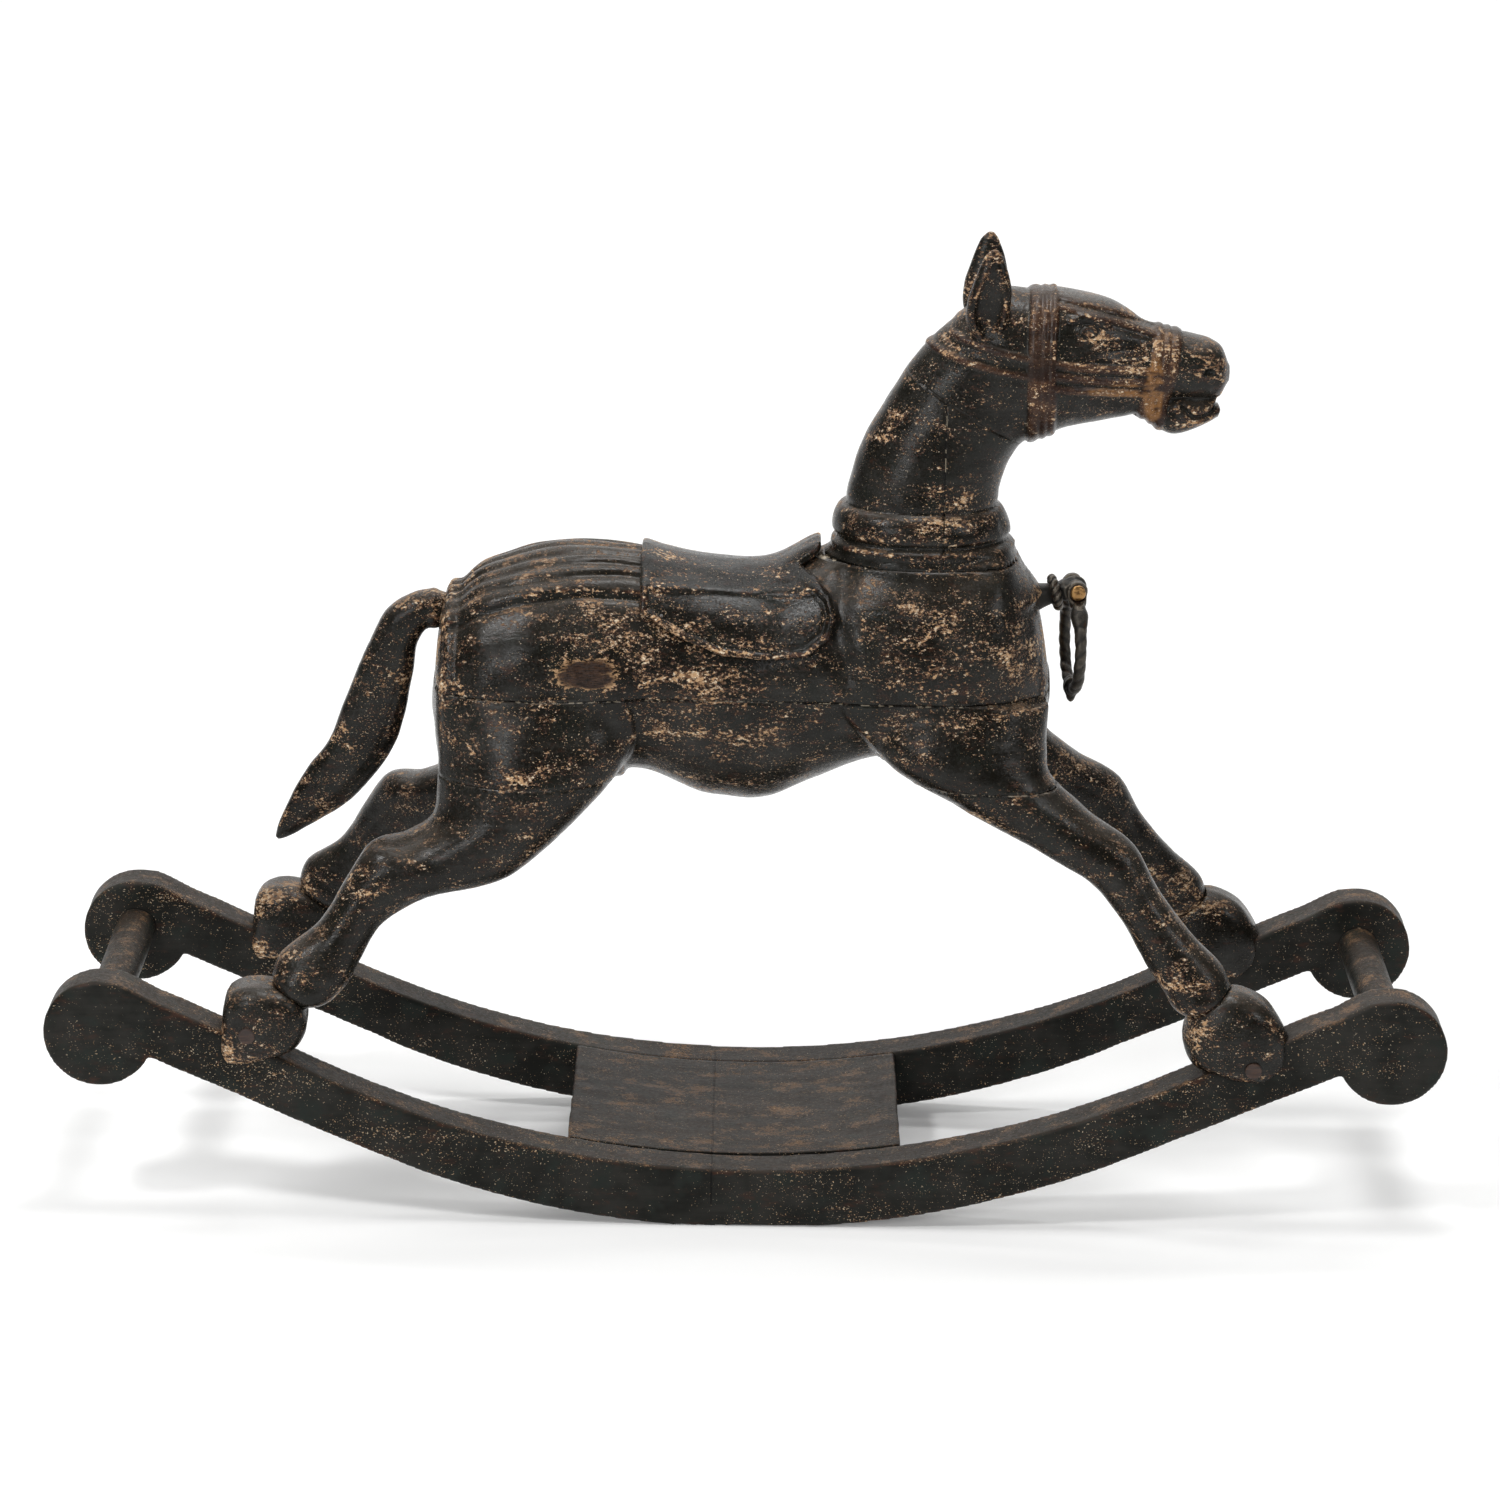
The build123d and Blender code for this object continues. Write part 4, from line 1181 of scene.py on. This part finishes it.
class WornPaint(Finish):
    """Old black paint, chipped through a red-brown coat to tan wood.

    patches are (centre, sizes, strength) where more of it has gone, level is how much is left
    elsewhere, rubbed is how far the edges are worn, the dust amount is how much dust lies on top
    faces, partly a painted top light that makes them paler as if lit from above, and grit is the
    size of the smallest chips."""

    def __init__(self, name, patches, level, rubbed, dust_and_top_light, grit):
        super().__init__(name)
        self.dust_and_top_light = dust_and_top_light
        self.wide = self.noise(62.0, 2.0, 0.5, (1.5, 1.0, 0.8))
        self.clump = self.noise(15.0, 3.0, 0.6, (1.7, 1.0, 0.7), 31.0)
        self.ragged = self.noise(grit, 4.0, 0.62, (1.4, 1.0, 0.85), 77.0)
        self.streak = self.noise(7.0, 4.0, 0.6, (7.0, 1.0, 0.5), 5.0)
        self.strap = self.made("strap")
        self.facing_up = self.ramp(self.upward, 0.35, 0.95)
        bend = self.made("bend")
        worn = self.ragged + self.clump.swing(0.60) + self.wide.swing(0.40)
        for centre, sizes, strength in patches:
            worn = worn + self.spot(centre, sizes) * strength
        patchy = self.ramp(self.noise(20.0, 3.0, 0.6, shift=47.0), 0.42, 0.60, 0.15, 1.0)
        self.edge = self.ramp(bend, 0.04, 0.20, 0.0, 0.14 * rubbed) * patchy
        hollow = self.ramp(bend, -0.12, -0.03, -0.16, 0.0)
        swollen = self.ramp(self.made("broad"), 0.02, 0.10, 0.0, 0.04 * rubbed)
        worn = worn + self.edge + hollow + swollen + self.strap * -0.015
        worn = worn + self.facing_up * (0.07 * dust_and_top_light)
        self.red = self.ramp(worn, level - 0.075, level - 0.015)
        self.bare = self.ramp(worn, level, level + 0.035)

    def coat(self, black, haze, smoky, ochre):
        """The paint that is left, smoky and rusty in places, and a leathery brown on the bridle.

        smoky is how grey it has gone, and ochre are (centre, sizes) where the leather is yellow."""
        cloud = self.noise(38.0, 3.0, 0.6) + self.streak * 0.35 + smoky
        coat = self.mix(black, SMOKE, self.ramp(cloud, 0.55, 0.95))
        coat = self.mix(coat, haze, self.ramp(self.noise(24.0, 2.0, 0.5, shift=90.0), 0.5, 0.7))
        rust = self.noise(9.0, 4.0, 0.65, (2.0, 1.0, 0.7), 19.0)
        rust = self.ramp(rust + self.edge * 1.5, 0.55, 0.78)
        coat = self.mix(coat, RED_BROWN, rust * 0.55)
        yellowed = 0.0
        for centre, sizes in ochre:
            yellowed = yellowed + self.spot(centre, sizes)
        leather = self.mix(DARK_LEATHER, LIGHT_LEATHER, self.ramp(self.clump, 0.40, 0.60))
        share = self.ramp(yellowed, 0.0, 0.6) * self.ramp(self.clump, 0.36, 0.5)
        leather = self.mix(leather, OCHRE, share)
        share = self.strap * self.ramp(self.wide, 0.36, 0.52, 0.35, 0.95)
        return self.mix(coat, leather, share)

    def chipped(self, coat, speck):
        """The coat chipped to its red-brown ground and to wood, with fine pale specks."""
        dark_core = self.ramp(self.noise(5.0, 3.0, 0.6, (1.4, 1.0, 0.8), 55.0), 0.50, 0.60)
        pale = self.ramp(self.noise(2.3, 3.0, 0.6, (1.3, 1.0, 0.8), 13.0), 0.53, 0.60)
        wood = self.mix(TAN, BROWN, dark_core)
        wood = self.mix(wood, CREAM, self.bare * pale)
        wood = self.mix(wood, BROWN, self.ramp(self.streak, 0.5, 0.65) * 0.35)
        ground = self.mix(RED_BROWN, BROWN, dark_core)
        colour = self.mix(coat, ground, self.red * 0.85)
        colour = self.mix(colour, wood, self.bare)
        tiny = self.noise(1.1, 2.0, 0.5, (1.3, 1.0, 1.0), 7.0)
        tiny = tiny + self.clump.swing(0.25) + self.wide.swing(0.2) + speck
        self.dots = self.ramp(tiny, 0.665, 0.695)
        pale_wood = self.mix(TAN, CREAM, self.ramp(self.ragged, 0.45, 0.6))
        return self.mix(colour, pale_wood, self.dots * 0.85)

    def with_knot(self, colour, centre, sizes):
        """A brown knot with a ragged rim and a dark heart."""
        inside = self.spot(centre, [2 * size for size in sizes])
        inside = inside + self.clump.swing(1.5)
        rim = self.ramp(inside + self.ragged.swing(1.6), 0.50, 0.66)
        core = self.ramp(inside + self.ragged.swing(0.7), 0.62, 0.84)
        brown = self.mix(BROWN, TAN, self.ramp(self.ragged, 0.42, 0.58))
        colour = self.mix(colour, brown, rim * 0.8)
        fine_grain = self.noise(1.2, 2.0, 0.5, (6.0, 1.0, 0.4))
        heart = self.mix(DARK_HEART, LIGHT_HEART, self.ramp(fine_grain, 0.40, 0.62))
        return self.mix(colour, heart, core)

    def with_seams(self, colour, seams):
        """Dark cracks with broken pale chips along them. Returns where they are, too.

        A seam is (coordinate, its value, other coordinate, low, high, width, how pale)."""
        cracks = 0.0
        for coordinate, at, other, low, high, width, light in seams:
            crack = self.line(self.axis[coordinate], at, width)
            crack = crack * self.between(self.axis[other], low, high)
            broken = self.ramp(self.noise(6.0, 3.0, 0.6, shift=40.0), 0.50, 0.56)
            colour = self.mix(colour, CRACK, crack * 0.8)
            colour = self.mix(colour, CREAM, crack * broken * light)
            cracks = cracks + crack
        return colour, cracks

    def with_dust_and_top_light(self, colour, dirt_and_top_light):
        """Dirt and scuffs on top faces. The dirt is partly a painted top light: upward faces are
        made paler as if lit from above.
        """
        # painted top light: upward faces get a paler dust colour, partly dust and partly standing
        # in for the light from above
        settled_and_lit = self.ramp(self.noise(5.0, 4.0, 0.6, (3.0, 1.0, 1.0), 23.0), 0.35, 0.65, 0.35, 0.8)
        settled_and_lit = self.facing_up * settled_and_lit
        colour = self.mix(colour, dirt_and_top_light, settled_and_lit * self.dust_and_top_light)
        scuffed = self.ramp(self.clump + self.ragged.swing(0.8), 0.56, 0.66)
        scuffed = self.facing_up * scuffed
        return self.mix(colour, self.mix(BROWN, TAN, 0.25), scuffed * (0.7 * self.dust_and_top_light))

    def polished(self, colour, cracks, gloss, shine):
        """The finished material: duller and lower where the paint has gone."""
        rough = self.noise(3.0, 4.0, 0.6, shift=61.0)
        rough = self.ramp(rough, 0.3, 0.7, gloss - 0.09, gloss + 0.10)
        for mask, more in ((self.bare, 0.3), (self.red, 0.1), (self.dots, 0.2)):
            rough = rough + mask * more
        height = self.noise(1.6, 4.0, 0.65, (1.7, 1.0, 1.0), 3.0) * 0.55
        for mask, more in ((self.streak, 0.35), (self.bare, -0.55), (self.red, -0.25),
                           (self.dots, -0.3), (cracks, -1.5)):
            height = height + mask * more
        self.shader.inputs["Specular IOR Level"].default_value = shine
        return self.finish(colour, rough, self.bump(height, 0.40))


through = 400.0            # reaches from one side of the horse to the other


def patch(x, z, long, high, strength):
    """A worn area that lies on both sides."""
    return (x, 0, z), (long, through, high), strength


def worn_paint(name, patches, level, gloss, shine, rubbed=1.0, dust_and_top_light=0.0, grit=2.7, smoky=0.0,
               speck=0.0, ochre=(), knot=None, seams=(), black=WARM_BLACK, haze=WARM_HAZE,
               dirt_and_top_light=PALE_DIRT_AND_TOP_LIGHT):
    paint = WornPaint(name, [patch(*row) for row in patches], level, rubbed, dust_and_top_light, grit)
    colour = paint.chipped(paint.coat(black, haze, smoky, ochre), speck)
    if knot:
        colour = paint.with_knot(colour, *knot)
    colour, cracks = paint.with_seams(colour, seams)
    # dust on top faces, partly a painted top light that makes them paler
    if dust_and_top_light:
        colour = paint.with_dust_and_top_light(colour, dirt_and_top_light)
    return paint.polished(colour, cracks, gloss, shine)


def horse_paint():
    patches = [
        (-55, 430, 105, 34, 0.115), (-20, 388, 90, 26, 0.07), (222, 470, 40, 60, 0.065),
        (150, 440, 60, 60, 0.07), (-225, 440, 50, 70, 0.04), (-200, 360, 70, 60, 0.07),
        (165, 585, 50, 42, 0.05), (225, 670, 22, 60, 0.05), (312, 672, 20, 50, 0.03),
        (268, 664, 60, 22, 0.03), (340, 640, 40, 22, 0.07), (170, 690, 60, 14, 0.04),
        (262, 700, 28, 11, 0.06), (350, 668, 16, 20, 0.08), (176, 758, 26, 14, 0.10),
        (330, 205, 40, 40, 0.03), (-345, 200, 50, 50, 0.03), (-404, 142, 18, 22, 0.17),
        (396, 128, 26, 16, 0.16), (195, 350, 60, 40, 0.05),
    ]
    seams = [
        ("z", body_seam_z, "x", -250, 236, 0.8, 0.30), ("z", neck_joint_z, "x", 40, 90, 1.2, 0.7),
        ("x", neck_seam_x, "z", 540, 640, 0.7, 0.35), ("z", leg_joint_z, "x", 100, 236, 0.8, 0.30),
    ]
    ochre = [((306, 0, 655), (10, through, 40)), ((283, 0, 656), (40, through, 8))]
    knot = ((-127, -84, 438), (22, 14, 10))
    # the dust amount lays dust and a painted top light on upward faces
    return worn_paint("worn horse paint", patches, 0.676, gloss=0.24, shine=0.21, dust_and_top_light=0.7,
                      ochre=ochre, knot=knot, seams=seams)


def saddle_paint():
    patches = [
        (-5, 482, 75, 22, 0.04), (-10, 455, 80, 10, 0.04), (-70, 505, 40, 16, 0.08),
        (30, 500, 40, 12, 0.08),
    ]
    return worn_paint("worn saddle paint", patches, 0.70, gloss=0.25, shine=0.22, rubbed=0.8,
                      smoky=-0.04)


def rocker_paint():
    patches = [(-40, 60, 120, 30, 0.05), (380, 100, 90, 40, 0.04)]
    seams = [("x", -25.0, "z", 20, 60, 0.8, 0.0)]
    # the dust amount lays dust and a painted top light on the boards' upward faces
    return worn_paint("worn rocker paint", patches, 0.80, gloss=0.46, shine=0.12, rubbed=0.9,
                      dust_and_top_light=0.6, grit=1.7, smoky=0.06, speck=-0.012, seams=seams, black=BLACK,
                      haze=GREEN_BLACK, dirt_and_top_light=DARK_DIRT_AND_TOP_LIGHT)


def iron():
    """Blackened cast iron, brown in its hollows and rubbed brighter on its edges."""
    f = Finish("blackened iron")
    pits = f.noise(1.4, 4.0, 0.65)
    cloud = f.noise(6.0, 3.0, 0.6, shift=12.0)
    bend = f.made("bend")
    rubbed = f.ramp(bend + pits.swing(0.12), 0.05, 0.22)
    rust = f.ramp(cloud + bend * -0.6, 0.52, 0.70)
    colour = f.mix((0.030, 0.028, 0.025), (0.062, 0.034, 0.020), rust)
    colour = f.mix(colour, (0.16, 0.135, 0.105), rubbed * 0.75)
    rough = f.ramp(pits, 0.3, 0.7, 0.30, 0.48) + rust * 0.16 + rubbed * -0.06
    f.shader.inputs["Metallic"].default_value = 0.75
    return f.finish(colour, rough, f.bump(pits + cloud * 0.6, 0.45))


def brass():
    """Brass gone brown where it isn't rubbed."""
    f = Finish("tarnished brass")
    pits = f.noise(0.9, 3.0, 0.6)
    cloud = f.noise(3.5, 3.0, 0.6, shift=12.0)
    clean = f.ramp(cloud + f.made("bend") * 0.5, 0.40, 0.60)
    colour = f.mix((0.12, 0.062, 0.026), (0.40, 0.225, 0.085), clean)
    f.shader.inputs["Metallic"].default_value = 0.9
    return f.finish(colour, f.ramp(clean, 0.0, 1.0, 0.48, 0.28), f.bump(pits + cloud, 0.25))


def steel():
    """Screws and nails with a brown film."""
    f = Finish("old steel")
    film = f.ramp(f.noise(3.0, 4.0, 0.6), 0.42, 0.62)
    colour = f.mix((0.26, 0.25, 0.24), (0.12, 0.06, 0.03), film)
    f.shader.inputs["Metallic"].default_value = 0.8
    return f.finish(colour, f.ramp(film, 0.0, 1.0, 0.32, 0.62), f.bump(f.noise(0.7, 3.0), 0.12))


def bare_wood(name, light, dark):
    """Planed wood with its grain along the horse."""
    f = Finish(name)
    bend = f.noise(30.0, 2.0)
    rings = f.noise(1.8, 3.0, 0.6, (9.0, 1.0, 1.0), 8.0)
    pores = f.noise(0.5, 2.0, 0.5, (8.0, 1.0, 1.0), 4.0)
    grain = f.ramp(rings + bend.swing(0.4), 0.36, 0.64)
    colour = f.mix(light, dark, grain)
    colour = f.mix(colour, dark, f.ramp(pores, 0.56, 0.66) * 0.6)
    return f.finish(colour, f.ramp(rings, 0.3, 0.7, 0.45, 0.6), f.bump(rings + pores, 0.18))


# ---- the set ----------------------------------------------------------------------------------
def add_object(name, data):
    made = bpy.data.objects.new(name, data)
    bpy.context.scene.collection.objects.link(made)
    return made


def make_backdrop():
    """A pale floor that curves up into a pale wall, with no line between them."""
    half_width = 9.0
    curve = 2.5
    wall = 7.0
    front = -7.0
    back = 3.5
    profile = [(front, 0.0), (back - 0.5, 0.0)]
    for step in range(1, 25):
        angle = radians(90 * step / 24)
        profile.append((back + curve * sin(angle), curve * (1 - cos(angle))))
    profile.append((back + curve, wall))
    points = [(x, y, z) for y, z in profile for x in (-half_width, half_width)]
    faces = [(2 * i, 2 * i + 1, 2 * i + 3, 2 * i + 2) for i in range(len(profile) - 1)]
    mesh = bpy.data.meshes.new("backdrop")
    mesh.from_pydata(points, [], faces)
    mesh.polygons.foreach_set("use_smooth", [True] * len(faces))
    f = Finish("pale paper")
    fibres = f.noise(3.0, 3.0)
    colour = f.mix((0.86, 0.86, 0.855), (0.90, 0.90, 0.895), fibres)
    f.shader.inputs["Emission Color"].default_value = (1.0, 1.0, 1.0, 1.0)
    f.shader.inputs["Emission Strength"].default_value = 0.16
    rough = f.ramp(fibres, 0.3, 0.7, 0.85, 0.95)
    mesh.materials.append(f.finish(colour, rough, f.bump(fibres, 0.05)))
    backdrop = add_object("backdrop", mesh)


# name, place, size, power in watts and what it is turned to
horse_middle = (0.0, 0.0, 0.4)
LIGHTS = [
    ("top light", (0.2, -0.1, 2.9), (0.9, 0.7), 29, horse_middle),
    ("left light", (-1.5, -1.3, 2.7), (0.4, 0.4), 36, horse_middle),
    ("side light", (-1.7, -3.2, 1.5), (0.35, 0.6), 26, horse_middle),
    ("right light", (2.2, -1.9, 1.9), (0.35, 0.5), 15, horse_middle),
    ("back light", (0.2, 2.4, 2.6), (3.0, 1.2), 8, horse_middle),
    ("wall light", (0.0, 2.6, 6.5), (9.0, 1.5), 350, (0.0, 6.0, 2.5)),
]


def make_lights():
    for name, place, size, power, target in LIGHTS:
        light = bpy.data.lights.new(name, "AREA")
        light.shape = "RECTANGLE"
        light.size, light.size_y = size
        light.energy = power
        lamp = add_object(name, light)
        lamp.location = place
        away = Vector(target) - Vector(place)
        lamp.rotation_euler = away.to_track_quat("-Z", "Y").to_euler()
    world = bpy.data.worlds.new("studio")
    world.use_nodes = True
    background = world.node_tree.nodes["Background"]
    background.inputs["Color"].default_value = (1.0, 1.0, 1.0, 1.0)
    background.inputs["Strength"].default_value = 0.10
    bpy.context.scene.world = world


camera_place = (0.0, -3.5512, 1.5059)      # level with the horse's right side, about 3.7 m away
camera_tilt = 72.0                         # 18 degrees down from level
camera_roll = 0.9                          # the horse in the photo stands a little nose down


def make_camera():
    lens = bpy.data.cameras.new("camera")
    lens.lens = 112.9
    lens.sensor_width = 36.0
    camera = add_object("camera", lens)
    camera.location = camera_place
    tilt = Matrix.Rotation(radians(camera_tilt), 3, "X")
    roll = Matrix.Rotation(radians(camera_roll), 3, "Z")
    camera.rotation_euler = (tilt @ roll).to_euler()
    bpy.context.scene.camera = camera
    bpy.context.scene.view_settings.view_transform = "Standard"


def paint_hidden_parts(wood, metal):
    """The pegs, dowels, screws and nails keep their CAD shapes."""
    for name, node in frame["nodes"].items():
        material = metal if name in ("hoof_screws", "saddle_nails") else wood
        if node.data.materials:
            for index in range(len(node.data.materials)):
                node.data.materials[index] = material
        else:
            node.data.materials.append(material)


wood = bare_wood("peg wood", (0.42, 0.25, 0.12), (0.24, 0.12, 0.05))
paint_hidden_parts(wood, steel())
coat = horse_paint()
boards = rocker_paint()
metal = iron()
make_horse(coat)
make_head(coat)
make_ears(coat)
make_tail(coat)
make_saddle(saddle_paint())
make_hooves(coat)
make_rockers(boards)
make_footboard(boards)
make_crossbars(boards)
make_ring_post(metal)
make_ring_collar(metal)
make_ring_pin(brass())
make_pull_ring(metal)
make_plugs(bare_wood("plug wood", (0.060, 0.027, 0.015), (0.022, 0.011, 0.008)))
make_backdrop()
make_lights()
make_camera()
